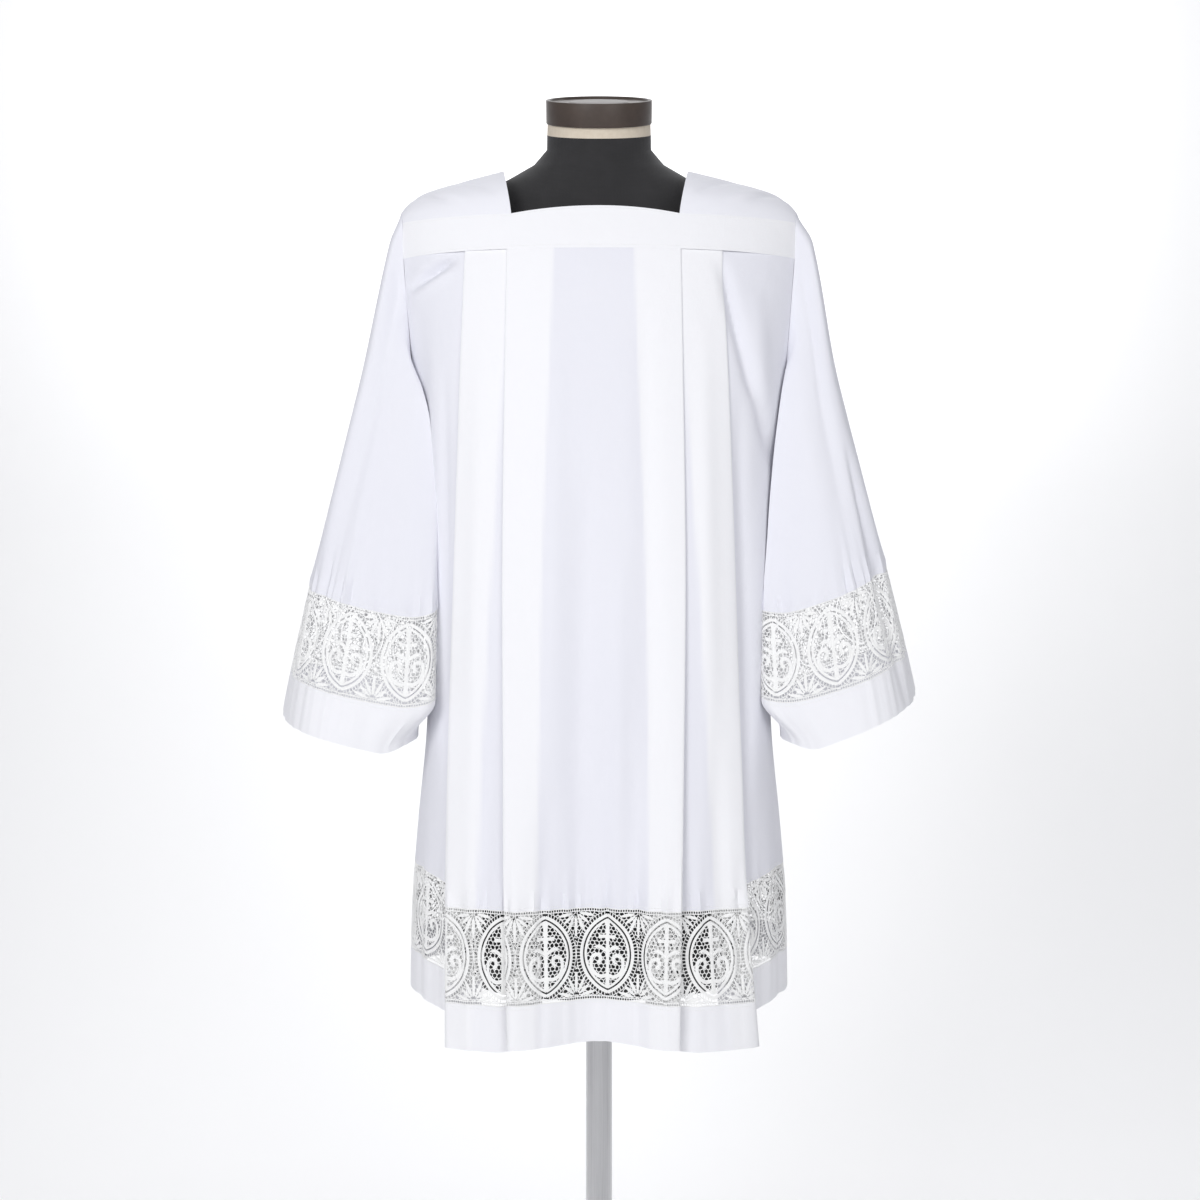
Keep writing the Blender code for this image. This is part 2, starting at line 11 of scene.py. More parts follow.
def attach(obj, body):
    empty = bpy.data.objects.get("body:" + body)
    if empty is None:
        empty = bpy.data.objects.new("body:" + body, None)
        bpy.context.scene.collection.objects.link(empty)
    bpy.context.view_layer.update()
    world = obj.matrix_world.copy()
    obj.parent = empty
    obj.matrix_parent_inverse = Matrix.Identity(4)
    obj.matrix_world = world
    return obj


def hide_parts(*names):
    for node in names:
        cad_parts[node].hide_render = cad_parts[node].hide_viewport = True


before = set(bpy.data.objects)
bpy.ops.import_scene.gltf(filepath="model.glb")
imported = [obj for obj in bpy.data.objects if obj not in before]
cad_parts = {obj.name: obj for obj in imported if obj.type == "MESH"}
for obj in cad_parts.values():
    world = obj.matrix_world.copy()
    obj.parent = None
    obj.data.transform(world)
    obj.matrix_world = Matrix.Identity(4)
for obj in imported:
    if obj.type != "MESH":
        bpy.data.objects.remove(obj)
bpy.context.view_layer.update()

# Sizes in metres. X is to the viewer's right, -Y is the front, Z is up. The cut of the
# garment is the CAD model's, drawn again here on finer grids.
CLOTH = 0.0006  # wall of the single cloth
ARMHOLE_SEAM = 0.0006  # how far the sleeve head stands out from the body's edge
YOKE = 0.0012  # wall of the doubled cloth of bands and straps

FOLD_TURNS = (72, 36, 0, -36, -72)  # degrees, round the fold of a pleat
LINED_BLUR = 0.004  # the width over which a layer underneath stops showing
SIDE_COUNT = 40  # columns from the last pleat to the armhole
ARM_COUNT = 17  # columns under the arm

BAND_TOP = 1.370
BAND_ARCH = 0.008
BAND_BOTTOM = 1.330
BAND_END = 0.218
BAND_HALF_WIDTH = 0.236
BAND_SEAM_LEFT = 0.142
BAND_SEAM_RIGHT = 0.135
PLEAT_TOP_STEP = 0.0008
NECK_CORNER = {-1: 0.0955, 1: 0.0875}
NECK_SIDE = {-1: 0.1075, 1: 0.1005}
NECK_TOP = 1.4335
SHOULDER_END = 1.3865
SHOULDER_HALF = 0.2225
SHOULDER_SLOPE = 0.62
SHOULDER_POWER = 10
UNDERARM = 1.120

LINE_COLUMNS = ("name", "height", "middle", "pleat", "turn", "side")
LINES = (
    ("lace_top", 0.6220, 0.001, -0.001, 0.013, 0.034),
    ("lace_bottom", 0.5235, 0.002, -0.004, 0.020, 0.037),
    ("hem", 0.4780, 0.003, -0.006, 0.022, 0.039),
)

BODY_COLUMNS = ("height", "half_width", "mid_y", "front", "back", "power")
BODY = (
    (0.460, 0.2160, 0.050, 0.190, 0.150, 3.20),
    (0.620, 0.2125, 0.042, 0.178, 0.146, 3.00),
    (0.700, 0.2060, 0.036, 0.168, 0.142, 3.10),
    (0.800, 0.1960, 0.028, 0.156, 0.138, 3.15),
    (0.900, 0.1920, 0.018, 0.146, 0.135, 3.10),
    (1.000, 0.1955, 0.010, 0.138, 0.130, 2.90),
    (1.120, 0.2030, 0.002, 0.128, 0.122, 2.60),
    (1.250, 0.2210, 0.000, 0.117, 0.112, 2.35),
    (1.335, 0.2360, 0.000, 0.105, 0.105, 2.20),
    (1.380, 0.2440, 0.000, 0.094, 0.094, 2.15),
)

PLEAT_COLUMNS = (
    "height", "left_1", "left_2", "right_1", "right_2", "under", "step", "hollow",
)
FRONT_PLEATS = (
    (0.460, 0.0890, 0.155, 0.0780, 0.163, 0.026, 0.0070, 0.034),
    (0.630, 0.0940, 0.157, 0.0820, 0.151, 0.030, 0.0058, 0.026),
    (0.800, 0.0975, 0.157, 0.0865, 0.148, 0.035, 0.0038, 0.008),
    (0.970, 0.1000, 0.154, 0.0895, 0.145, 0.040, 0.0024, 0.002),
    (1.200, 0.0995, 0.149, 0.0885, 0.138, 0.047, 0.0012, 0.000),
    (1.335, 0.0985, 0.145, 0.0875, 0.133, 0.050, 0.0008, 0.000),
)
BACK_PLEATS = (
    (0.460, 0.0860, 0.150, 0.0880, 0.154, 0.027, 0.0065, 0.020),
    (0.630, 0.0890, 0.149, 0.0900, 0.152, 0.030, 0.0055, 0.014),
    (0.970, 0.0930, 0.147, 0.0930, 0.148, 0.040, 0.0024, 0.000),
    (1.335, 0.0930, 0.140, 0.0930, 0.140, 0.050, 0.0008, 0.000),
)

CUFF_COLUMNS = (
    "side", "mid_x", "mid_y", "mid_z", "half_x", "half_y", "turn", "rise_x", "rise_y",
    "bulge", "cap",
)
CUFFS = (
    (-1, 0.2820, -0.012, 0.8030, 0.074, 0.110, 12.0, 0.27, 0.06, 0.005, 0.005),
    (+1, 0.2825, -0.012, 0.8150, 0.074, 0.110, 12.0, 0.42, 0.06, 0.003, 0.010),
)
CUFF_POWER = 2.7  # of the superellipse that the open end is
CUFF_INNER_RISE = 0.020
CUFF_INNER_FROM = 0.6  # share of the half width where the rise starts, and its length
# The front fold of a sleeve swings in over the body, and the left one forward as well.
SLEEVE_FRONT = 0.036
SLEEVE_FRONT_ANGLE = 122
SLEEVE_FORWARD = {-1: 0.018, 1: 0.000}
SLEEVE_CLEAR = {-1: 0.0008, 1: 0.0035}  # how far a sleeve keeps off the body
CLEAR_UP_TO = 1.250
SLEEVE_COLUMNS = 152
SLEEVE_HEM = 0.050
SLEEVE_LACE = 0.099
SLEEVE_LACE_TOP = SLEEVE_HEM + SLEEVE_LACE
# Shares of a sleeve's length over which these ease in, from the hem or from the armhole.
SWING_FROM_HEM, SWING_FROM_ARMHOLE = 0.12, 0.16
CLEAR_FROM_ARMHOLE = 0.08
CAP_RISE, CAP_END, CAP_FALL = 0.06, 0.94, 0.30
SLEEVE_FLAT = 0.030  # metres below the armhole, over which the creases ease in

TUCK_RISE = 0.006  # how far the pleats run up behind the band
TUCK_IN = 0.0036
TUCK_EDGE = 0.001  # a point this far below the band's foot stays out from behind it
TUCK_LEAST = 0.0002  # and rises only this much

HEM_DOUBLED = 0.75  # how white the turned-up hems are, from single 0 to double 1
# The straps are doubled cloth, but their share is set low so that their sloping tops take a
# painted shade.
STRAP_DOUBLED_WITH_PAINTED_SHADE = 0.30

FORM_COLUMNS = ("height", "half_width", "half_depth", "mid_y", "tilt")
FORM = (
    (0.508, 0.140, 0.094, 0.028, 0),
    (0.520, 0.150, 0.102, 0.028, 0),
    (0.640, 0.159, 0.107, 0.026, 0),
    (0.750, 0.168, 0.113, 0.022, 0),
    (0.860, 0.172, 0.116, 0.020, 0),
    (0.960, 0.158, 0.104, 0.014, 0),
    (1.060, 0.152, 0.098, 0.006, 0),
    (1.160, 0.166, 0.104, 0.000, 0),
    (1.250, 0.180, 0.101, 0.000, 0),
    (1.320, 0.188, 0.092, 0.000, 0),
    (1.366, 0.183, 0.081, 0.002, 0),
    (1.393, 0.161, 0.072, 0.003, 0),
    (1.414, 0.133, 0.064, 0.003, 2),
    (1.429, 0.102, 0.058, 0.000, 6),
    (1.445, 0.074, 0.055, -0.003, 11),
    (1.460, 0.060, 0.055, -0.006, 17),
    (1.478, 0.059, 0.0558, -0.0085, 19),
    (1.4905, 0.0585, 0.0565, -0.010, 20),
)
FORM_SIDES = 96
COVER_TOP = 1.478
CAP_RADIUS = 0.060
CAP_HEIGHT = 0.026
# Insets of the cap's top, from its edge inwards: (thickness, depth).
CAP_INSETS = ((0.004, 0), (0.0015, -0.003), (0.020, 0), (0.0012, 0.0012))

# Creases of the body: a soft trough (minus) or ridge (plus) along a line from one end to
# the other. A row is x and z at each end, half width, depth.
FRONT_CREASES = (
    (-0.208, 1.294, -0.154, 1.327, 0.0062, -0.0105),
    (-0.214, 1.282, -0.156, 1.312, 0.0070, +0.0040),
    (-0.200, 1.270, -0.180, 0.960, 0.0110, -0.0045),
    (-0.184, 1.240, -0.170, 0.720, 0.0100, +0.0050),
    (-0.168, 1.200, -0.164, 0.760, 0.0050, -0.0030),
    (0.130, 1.325, 0.170, 1.170, 0.0070, -0.0080),
    (0.158, 1.220, 0.196, 1.090, 0.0080, -0.0060),
    (0.172, 1.290, 0.180, 1.140, 0.0120, +0.0040),
    (0.152, 1.180, 0.158, 0.760, 0.0080, -0.0050),
    (0.178, 1.080, 0.168, 0.720, 0.0100, +0.0040),
    (-0.046, 1.300, -0.052, 0.720, 0.0140, +0.0036),
    (-0.012, 1.120, -0.026, 0.560, 0.0150, -0.0052),
    (0.022, 1.020, 0.016, 0.470, 0.0120, +0.0052),
    (0.046, 1.280, 0.058, 0.640, 0.0120, -0.0038),
    (0.038, 0.780, 0.044, 0.440, 0.0100, -0.0045),
    (-0.052, 0.760, -0.060, 0.440, 0.0100, -0.0045),
    (-0.128, 1.240, -0.132, 0.620, 0.0100, +0.0032),
    (-0.116, 0.900, -0.122, 0.450, 0.0085, -0.0040),
    (0.112, 1.260, 0.118, 0.700, 0.0100, +0.0036),
    (0.120, 0.840, 0.132, 0.450, 0.0095, -0.0040),
)
BACK_CREASES = (
    (-0.206, 1.290, -0.160, 1.330, 0.0060, -0.0050),
    (0.204, 1.285, 0.158, 1.332, 0.0060, -0.0055),
    (-0.190, 1.260, -0.172, 0.900, 0.0110, -0.0050),
    (0.188, 1.230, 0.176, 0.860, 0.0110, -0.0050),
    (-0.040, 1.300, -0.046, 0.740, 0.0150, +0.0024),
    (0.006, 1.080, -0.008, 0.520, 0.0150, -0.0030),
    (0.036, 1.240, 0.048, 0.640, 0.0130, +0.0026),
    (-0.030, 0.760, -0.040, 0.440, 0.0110, -0.0028),
    (-0.120, 1.180, -0.124, 0.560, 0.0110, -0.0024),
    (0.118, 1.140, 0.124, 0.520, 0.0110, +0.0024),
    (0.060, 0.780, 0.064, 0.440, 0.0100, -0.0026),
)
# Small gathers where cloth is eased on to the lace: wavelength, phase and share of each.
GATHERS = ((0.0171, 1.3, 1.0), (0.0113, 0.4, 0.6), (0.0264, 2.2, 0.8), (0.0079, 4.0, 0.3))
GATHER_DEPTH = 0.0019
GATHER_RISE = 0.024  # how fast the gathers fade above the lace
GATHER_BELOW = 0.45  # the share of them that goes on into the lace
GATHER_FALL = 0.200  # how fast they fade there
CREASE_FADE = 0.014  # below the band, where the creases start

# Creases of the sleeves, by the angle round them from the outside by way of the front,
# in degrees, and the distance up from the hem: both at each end, then half width, depth.
LEFT_SLEEVE_CREASES = (
    (60, 0.590, 44, 0.080, 0.020, -0.0050),
    (96, 0.540, 100, 0.020, 0.016, +0.0040),
    (28, 0.420, 20, 0.000, 0.015, +0.0035),
    (122, 0.500, 150, 0.180, 0.012, -0.0060),
    (78, 0.300, 72, -0.020, 0.012, -0.0030),
    (150, 0.470, 160, 0.060, 0.012, +0.0040),
    (210, 0.560, 222, 0.060, 0.018, -0.0050),
    (250, 0.480, 244, 0.000, 0.016, +0.0040),
    (290, 0.560, 300, 0.120, 0.018, -0.0045),
    (330, 0.380, 326, 0.000, 0.015, +0.0035),
)
RIGHT_SLEEVE_CREASES = (
    (52, 0.580, 60, 0.150, 0.018, -0.0050),
    (88, 0.560, 84, 0.060, 0.017, +0.0040),
    (34, 0.300, 30, -0.010, 0.008, -0.0060),
    (22, 0.320, 18, -0.010, 0.010, +0.0040),
    (120, 0.480, 146, 0.160, 0.012, -0.0060),
    (108, 0.260, 112, -0.010, 0.010, -0.0040),
    (152, 0.440, 162, 0.060, 0.012, +0.0040),
    (206, 0.540, 216, 0.060, 0.018, -0.0050),
    (252, 0.500, 248, 0.000, 0.016, +0.0040),
    (292, 0.540, 300, 0.100, 0.018, -0.0045),
    (332, 0.360, 330, 0.000, 0.015, +0.0035),
)
SLEEVE_RADIUS = 0.090  # turns the angle of a crease into a distance

# The lace, in millimetres: one pointed oval to a repeat, between two beaded edges. An oval
# is given by its half width and half height.
LACE_HEIGHT = 99.0
LACE_PITCH = 69.0
OUTER_CORD = (28.6, 41.6)
INNER_CORD = (23.9, 36.6)
EDGE_CORD = (34.2, 47.0)
SPOKES_FROM = (29.6, 42.6)
SPOKES_TO = (34.4, 47.2)
NET_WITHIN = (24.0, 37.0)  # net fills the oval inside this
NET_BEYOND = (34.6, 47.4)  # and the corners outside this
NET_SIDE = 2.75
NET_JITTER = 0.62
NET_MARGIN = 3.5
BAR_HALF, BAR_HEIGHT = 0.48, 0.35
RUNG_COUNT = 26
RUNG = (0.4, 4.0)  # from the edge
EDGE_TAPES = (0.6, 3.8)  # from the edge
CORNER_LEAVES = ((-78, 17), (-50, 15), (-25, 20), (0, 22), (25, 20), (50, 15), (78, 17))
SCROLL = (
    (1.0, 73), (8, 74), (15.5, 69), (18.2, 60), (15.5, 51.5), (9.5, 50.5), (7.2, 56), (10.4, 60),
)
LEAF = ((0.5, 49), (4.5, 44.5), (10.0, 42.0), (15.5, 42.8))
STAFF = (14.5, 84.5)  # the cross's staff, from the lace's upper edge
CROSS_ARM, CROSS_AT = 9.5, 31.0
LACE_THREAD = 0.62  # the share of the lace's outline that is thread
FRONT_LACE_SHIFT = 0.0095  # metres that an oval's middle stands off the front's middle
SLEEVE_LACE_START = {"left": 0.055, "right": 0.012}  # from the outside by way of the front


def hermite(key, values, at):
    """A smooth curve through the rows of values, one for each key, at the places `at`."""
    slope = np.gradient(values, key, axis=0)
    low = np.clip(np.searchsorted(key, at, side="right") - 1, 0, len(key) - 2)
    span = key[low + 1] - key[low]
    t = (at - key[low]) / span
    if values.ndim > 1:
        span, t = span[:, None], t[:, None]
    return (
        (2 * t**3 - 3 * t**2 + 1) * values[low]
        + (t**3 - 2 * t**2 + t) * span * slope[low]
        + (3 * t**2 - 2 * t**3) * values[low + 1]
        + (t**3 - t**2) * span * slope[low + 1]
    )


def smooth(rows, names, name, at):
    """A table's column at the values `at` of its first column, on a smooth curve."""
    data = np.array(rows, float)
    key = data[:, 0]
    at = np.clip(np.asarray(at, float), key[0], key[-1])
    return hermite(key, data[:, names.index(name)], at)


def run_along(points):
    """The distance along a line of points, from the first to each."""
    steps = np.linalg.norm(np.diff(points, axis=0), axis=1)
    return np.concatenate([[0], np.cumsum(steps)])


def row_named(names, row):
    return dict(zip(names, row))


def body(name, z):
    return smooth(BODY, BODY_COLUMNS, name, z)


def guide(angle, lift, z, face):
    """Points on the body's oval, lifted off it along its normal."""
    power = body("power", z)
    width = body("half_width", z)
    depth = body("front" if face < 0 else "back", z)
    across = np.sin(angle) ** (2 / power)
    along = np.cos(angle) ** (2 / power)
    normal_x = across ** (power - 1) / width
    normal_y = along ** (power - 1) / depth
    length = np.hypot(normal_x, normal_y)
    x = width * across + lift * normal_x / length
    y = depth * along + lift * normal_y / length
    return np.stack([x, body("mid_y", z) + face * y, z * np.ones_like(x)], axis=-1)


def angle_at(x, z):
    share = np.clip(x / body("half_width", z), 0, 1)
    return np.arcsin(share ** (body("power", z) / 2))


def x_at(angle, z):
    return body("half_width", z) * np.sin(angle) ** (2 / body("power", z))


def ease(t):
    t = np.clip(t, 0, 1)
    return t * t * (3 - 2 * t)


def creased(rows, u, v):
    """How far a table's creases lift the cloth at the places (u, v), in metres."""
    lift = np.zeros(np.broadcast(u, v).shape)
    for u_1, v_1, u_2, v_2, width, depth in rows:
        run = math.hypot(u_2 - u_1, v_2 - v_1)
        along = ((u - u_1) * (u_2 - u_1) + (v - v_1) * (v_2 - v_1)) / run**2
        off = ((u - u_1) * (v_2 - v_1) - (v - v_1) * (u_2 - u_1)) / run
        fade = np.sin(np.pi * np.clip(along, 0, 1)) ** 0.8
        lift = lift + depth * fade * np.exp(-((off / width) ** 2))
    return lift


def gathered(at, above, below):
    """The lift of the small gathers at a place along the seam, a distance above its lace
    or below the lace's top."""
    wave = sum(
        share * np.sin(2 * np.pi * at / length + phase) for length, phase, share in GATHERS
    )
    upward = np.exp(-np.clip(above, 0, 1) / GATHER_RISE)
    downward = GATHER_BELOW * np.exp(-below / GATHER_FALL)
    return GATHER_DEPTH * wave * np.where(above > 0, upward, downward)


def spread(start, end, count):
    return tuple(np.linspace(start, end, count))


def band_end_at(z):
    return BAND_END / BAND_HALF_WIDTH * body("half_width", z)


def half_columns(pleats, creases, side, z_rows, face):
    """One half of a pleated piece: its columns of points from the middle to the side seam,
    and on each how far the cloth lies over another layer, 0 to 1."""
    hand = "left" if side < 0 else "right"
    flip = np.array([side, 1, 1])

    def at(name, z):
        return smooth(pleats, PLEAT_COLUMNS, name, z)

    columns, doubled = [], []

    def soft(x, z):
        lace_top = level("lace_top", "centre", 1)
        lift = creased(creases, side * x, z) * ease((BAND_BOTTOM - z) / CREASE_FADE)
        return lift + gathered(side * x, z - lace_top, lace_top - z)

    def add(kind, share, x_of, lift_of, double):
        z = z_rows(kind, share)
        x = x_of(z)
        sag = np.cos(0.5 * np.pi * np.clip(x / at(f"{hand}_1", z), 0, 1)) ** 2
        lift = lift_of(z) - at("hollow", z) * sag + soft(x, z)
        columns.append(guide(angle_at(x, z), lift, z, face) * flip)
        doubled.append(np.broadcast_to(double(x, z), z.shape))

    def layer(kind, x_from, x_to, lift_of, shares, double, row_share=None):
        for share in shares:
            place = share if row_share is None else row_share

            def x_of(z, share=share):
                return (1 - share) * x_from(z) + share * x_to(z)

            add(kind, place, x_of, lift_of, double)

    def turn(kind, x_of, middle, outward, double, row_share=1):
        for degrees in FOLD_TURNS:
            turned = math.radians(degrees)
            reach = 0.5 * outward * math.cos(turned)
            rise = 0.5 * math.sin(turned)

            def beyond(z, reach=reach):
                return x_of(z) + reach * at("step", z)

            add(kind, row_share, beyond, steps(middle + rise), double)

    def fold_1(z):
        return at(f"{hand}_1", z)

    def fold_2(z):
        return at(f"{hand}_2", z)

    def inner_1(z):
        return fold_1(z) - at("under", z)

    def inner_2(z):
        return fold_2(z) - at("under", z)

    def steps(count):
        return lambda z: count * at("step", z)

    def middle_line(z):
        return 0 * z

    def lined(inner):
        return lambda x, z: ease(0.5 + (x - inner(z)) / LINED_BLUR)

    def plain(x, z):
        return 0 * z

    def full(x, z):
        return 0 * z + 1

    layer("centre", middle_line, fold_1, steps(4), spread(0, 0.985, 30), lined(inner_1))
    turn("centre", fold_1, 3.5, 1, full)
    layer("centre", fold_1, inner_1, steps(3), spread(0.04, 0.96, 6), plain, 1)
    turn("centre", inner_1, 2.5, -1, plain)
    layer("pleat", inner_1, fold_2, steps(2), spread(0.03, 0.98, 22), lined(inner_2))
    turn("pleat", fold_2, 1.5, 1, full)
    layer("under", fold_2, inner_2, steps(1), spread(0.04, 0.96, 6), plain)
    turn("side", inner_2, 0.5, -1, plain, 0)
    for share in spread(0.03, 1, SIDE_COUNT):
        z = z_rows("side", share)
        start = angle_at(inner_2(z), z)
        angle = start + share * (angle_at(band_end_at(z), z) - start)
        columns.append(guide(angle, soft(x_at(angle, z), z), z, face) * flip)
        doubled.append(0 * z)
    for share in spread(0, 1, ARM_COUNT)[1:]:
        z = z_rows("arm", share)
        angle = arm_angle(share, z)
        lift = soft(x_at(angle, z), z) * (1 - ease(share))
        columns.append(guide(angle, lift, z, face) * flip)
        doubled.append(0 * z)
    return columns, doubled


def arm_angle(share, z):
    start = angle_at(band_end_at(z), z)
    return start + share * (math.pi / 2 - start)


def arm_top(share):
    return BAND_BOTTOM - (BAND_BOTTOM - UNDERARM) * math.sin(0.5 * math.pi * share)


def level(name, kind, share):
    """The height of a seam or hem line on a column of the body."""
    line = next(row_named(LINE_COLUMNS, row) for row in LINES if row[0] == name)
    if kind == "centre":
        return line["height"] + line["middle"] * math.cos(0.5 * math.pi * share) ** 2
    if kind == "pleat":
        return line["height"] + line["pleat"] * ease(2 * share)
    if kind == "under":
        return line["height"] + line["pleat"] + share * (line["turn"] - line["pleat"])
    if kind == "side":
        return line["height"] + line["turn"] + share * (line["side"] - line["turn"])
    return line["height"] + line["side"]


def panel_rows(top, bottom, shares):
    def line(name, kind, share):
        if name != "top":
            return level(name, kind, share)
        return arm_top(share) if kind == "arm" else BAND_BOTTOM

    def rows(kind, share):
        high, low = line(top, kind, share), line(bottom, kind, share)
        return high + (low - high) * np.array(shares)

    return rows


def pleated(pleats, creases, face, top, bottom, shares):
    """The grid of a whole pleated piece, rows by columns, and its doubled share."""
    z_rows = panel_rows(top, bottom, shares)
    left, left_double = half_columns(pleats, creases, -1, z_rows, face)
    right, right_double = half_columns(pleats, creases, +1, z_rows, face)
    grid = np.stack(left[::-1] + right[1:], axis=1)
    doubled = np.stack(left_double[::-1] + right_double[1:], axis=1)
    return grid, doubled


def normals(grid, ring, level_rows):
    """Unit vectors across the wall, kept level on the rows where it meets another piece."""
    if ring:
        along = np.roll(grid, -1, axis=1) - np.roll(grid, 1, axis=1)
    else:
        along = np.gradient(grid, axis=1)
    down = np.gradient(grid, axis=0)
    for row in range(len(grid)) if level_rows == "all" else level_rows:
        along[row, :, 2] = 0
        down[row] = (0, 0, -1 if down[row, 0, 2] < 0 else 1)
    across = np.cross(along, down)
    return across / np.linalg.norm(across, axis=2, keepdims=True)


def runs(grid):
    """The distance along each row and down each column, in metres."""
    across = np.linalg.norm(np.diff(grid, axis=1), axis=2)
    down = np.linalg.norm(np.diff(grid, axis=0), axis=2)
    u = np.concatenate([np.zeros((len(grid), 1)), np.cumsum(across, axis=1)], axis=1)
    v = np.concatenate([np.zeros((1, grid.shape[1])), np.cumsum(down, axis=0)], axis=0)
    return u, v


def piece(name, points, faces, finish_used, uv=None, doubled=None, sharp=35):
    """A mesh object at the origin. uv and doubled have a value for each point."""
    data = bpy.data.meshes.new(name)
    data.from_pydata(np.asarray(points).tolist(), [], faces)
    mesh = bmesh.new()
    mesh.from_mesh(data)
    bmesh.ops.recalc_face_normals(mesh, faces=mesh.faces)
    if mesh.calc_volume(signed=True) < 0:
        bmesh.ops.reverse_faces(mesh, faces=mesh.faces)
    mesh.to_mesh(data)
    mesh.free()
    data.shade_smooth()
    data.set_sharp_from_angle(angle=math.radians(sharp))
    corner = np.empty(len(data.loops), np.int32)
    data.loops.foreach_get("vertex_index", corner)
    if uv is not None:
        layer = data.uv_layers.new(name="cut")
        layer.data.foreach_set("uv", np.asarray(uv, np.float32)[corner].ravel())
    if doubled is not None:
        values = data.attributes.new("doubled", "FLOAT", "POINT")
        values.data.foreach_set("value", np.asarray(doubled, np.float32))
    data.materials.append(finish_used)
    made = bpy.data.objects.new(name, data)
    bpy.context.scene.collection.objects.link(made)
    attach(made, "root")
    return made


def stands_for(replaced):
    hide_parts(replaced)


def wall(name, grid, thickness, finish_used, ring=False, level_rows=(0, -1), doubled=None):
    """A closed wall round a grid of points; a ring joins its last column to its first."""
    half = normals(grid, ring, level_rows) * thickness / 2
    rows, count = grid.shape[:2]
    u, v = runs(grid)
    points = np.concatenate([(grid + half).reshape(-1, 3), (grid - half).reshape(-1, 3)])
    uv = np.tile(np.stack([u, v], axis=-1).reshape(-1, 2), (2, 1))
    index = np.arange(2 * rows * count).reshape(2, rows, count)
    step = np.roll(index, -1, axis=2) if ring else index[:, :, 1:]
    near = index if ring else index[:, :, :-1]
    faces = []
    for side in (0, 1):
        quads = [near[side, :-1], near[side, 1:], step[side, 1:], step[side, :-1]]
        faces.append(np.stack(quads, axis=-1).reshape(-1, 4))
    for r in (0, rows - 1):
        quads = [near[0, r], step[0, r], step[1, r], near[1, r]]
        faces.append(np.stack(quads, axis=-1))
    if not ring:
        for c in (0, count - 1):
            quads = [index[0, :-1, c], index[0, 1:, c], index[1, 1:, c], index[1, :-1, c]]
            faces.append(np.stack(quads, axis=-1))
    value = np.zeros(2 * rows * count) if doubled is None else np.tile(doubled.ravel(), 2)
    return piece(name, points, np.concatenate(faces).tolist(), finish_used, uv, value)


class Surface:
    """A sheet that work is laid on: along it in metres, down it as a share, and off it."""

    def __init__(self, grid, ring=False):
        self.grid = grid
        self.across = normals(grid, ring, ())
        if ring:
            self.grid = np.concatenate([grid, grid[:, :1]], axis=1)
            self.across = np.concatenate([self.across, self.across[:, :1]], axis=1)
        self.run = runs(self.grid)[0][len(grid) // 2]
        self.length = self.run[-1]
        outward = self.grid - self.grid.mean(axis=(0, 1))
        outward[..., 2] = 0
        if (self.across * outward).sum() < 0:
            self.across = -self.across

    def at(self, along, down, off):
        rows, count = self.grid.shape[:2]
        c = np.interp(along, self.run, np.arange(count))
        r = np.clip(down, 0, 1) * (rows - 1)
        c_0 = np.clip(np.floor(c).astype(int), 0, count - 2)
        r_0 = np.clip(np.floor(r).astype(int), 0, rows - 2)
        c_part, r_part = (c - c_0)[..., None], (r - r_0)[..., None]
        found = []
        for values in (self.grid, self.across):
            upper = values[r_0, c_0] * (1 - c_part) + values[r_0, c_0 + 1] * c_part
            lower = values[r_0 + 1, c_0] * (1 - c_part) + values[r_0 + 1, c_0 + 1] * c_part
            found.append(upper * (1 - r_part) + lower * r_part)
        return found[0] + found[1] * np.asarray(off)[..., None]


# ---------------------------------------------------------------- finishes


WAVE_TURNS = 20  # radians that a wave texture turns through in a unit, at scale 1


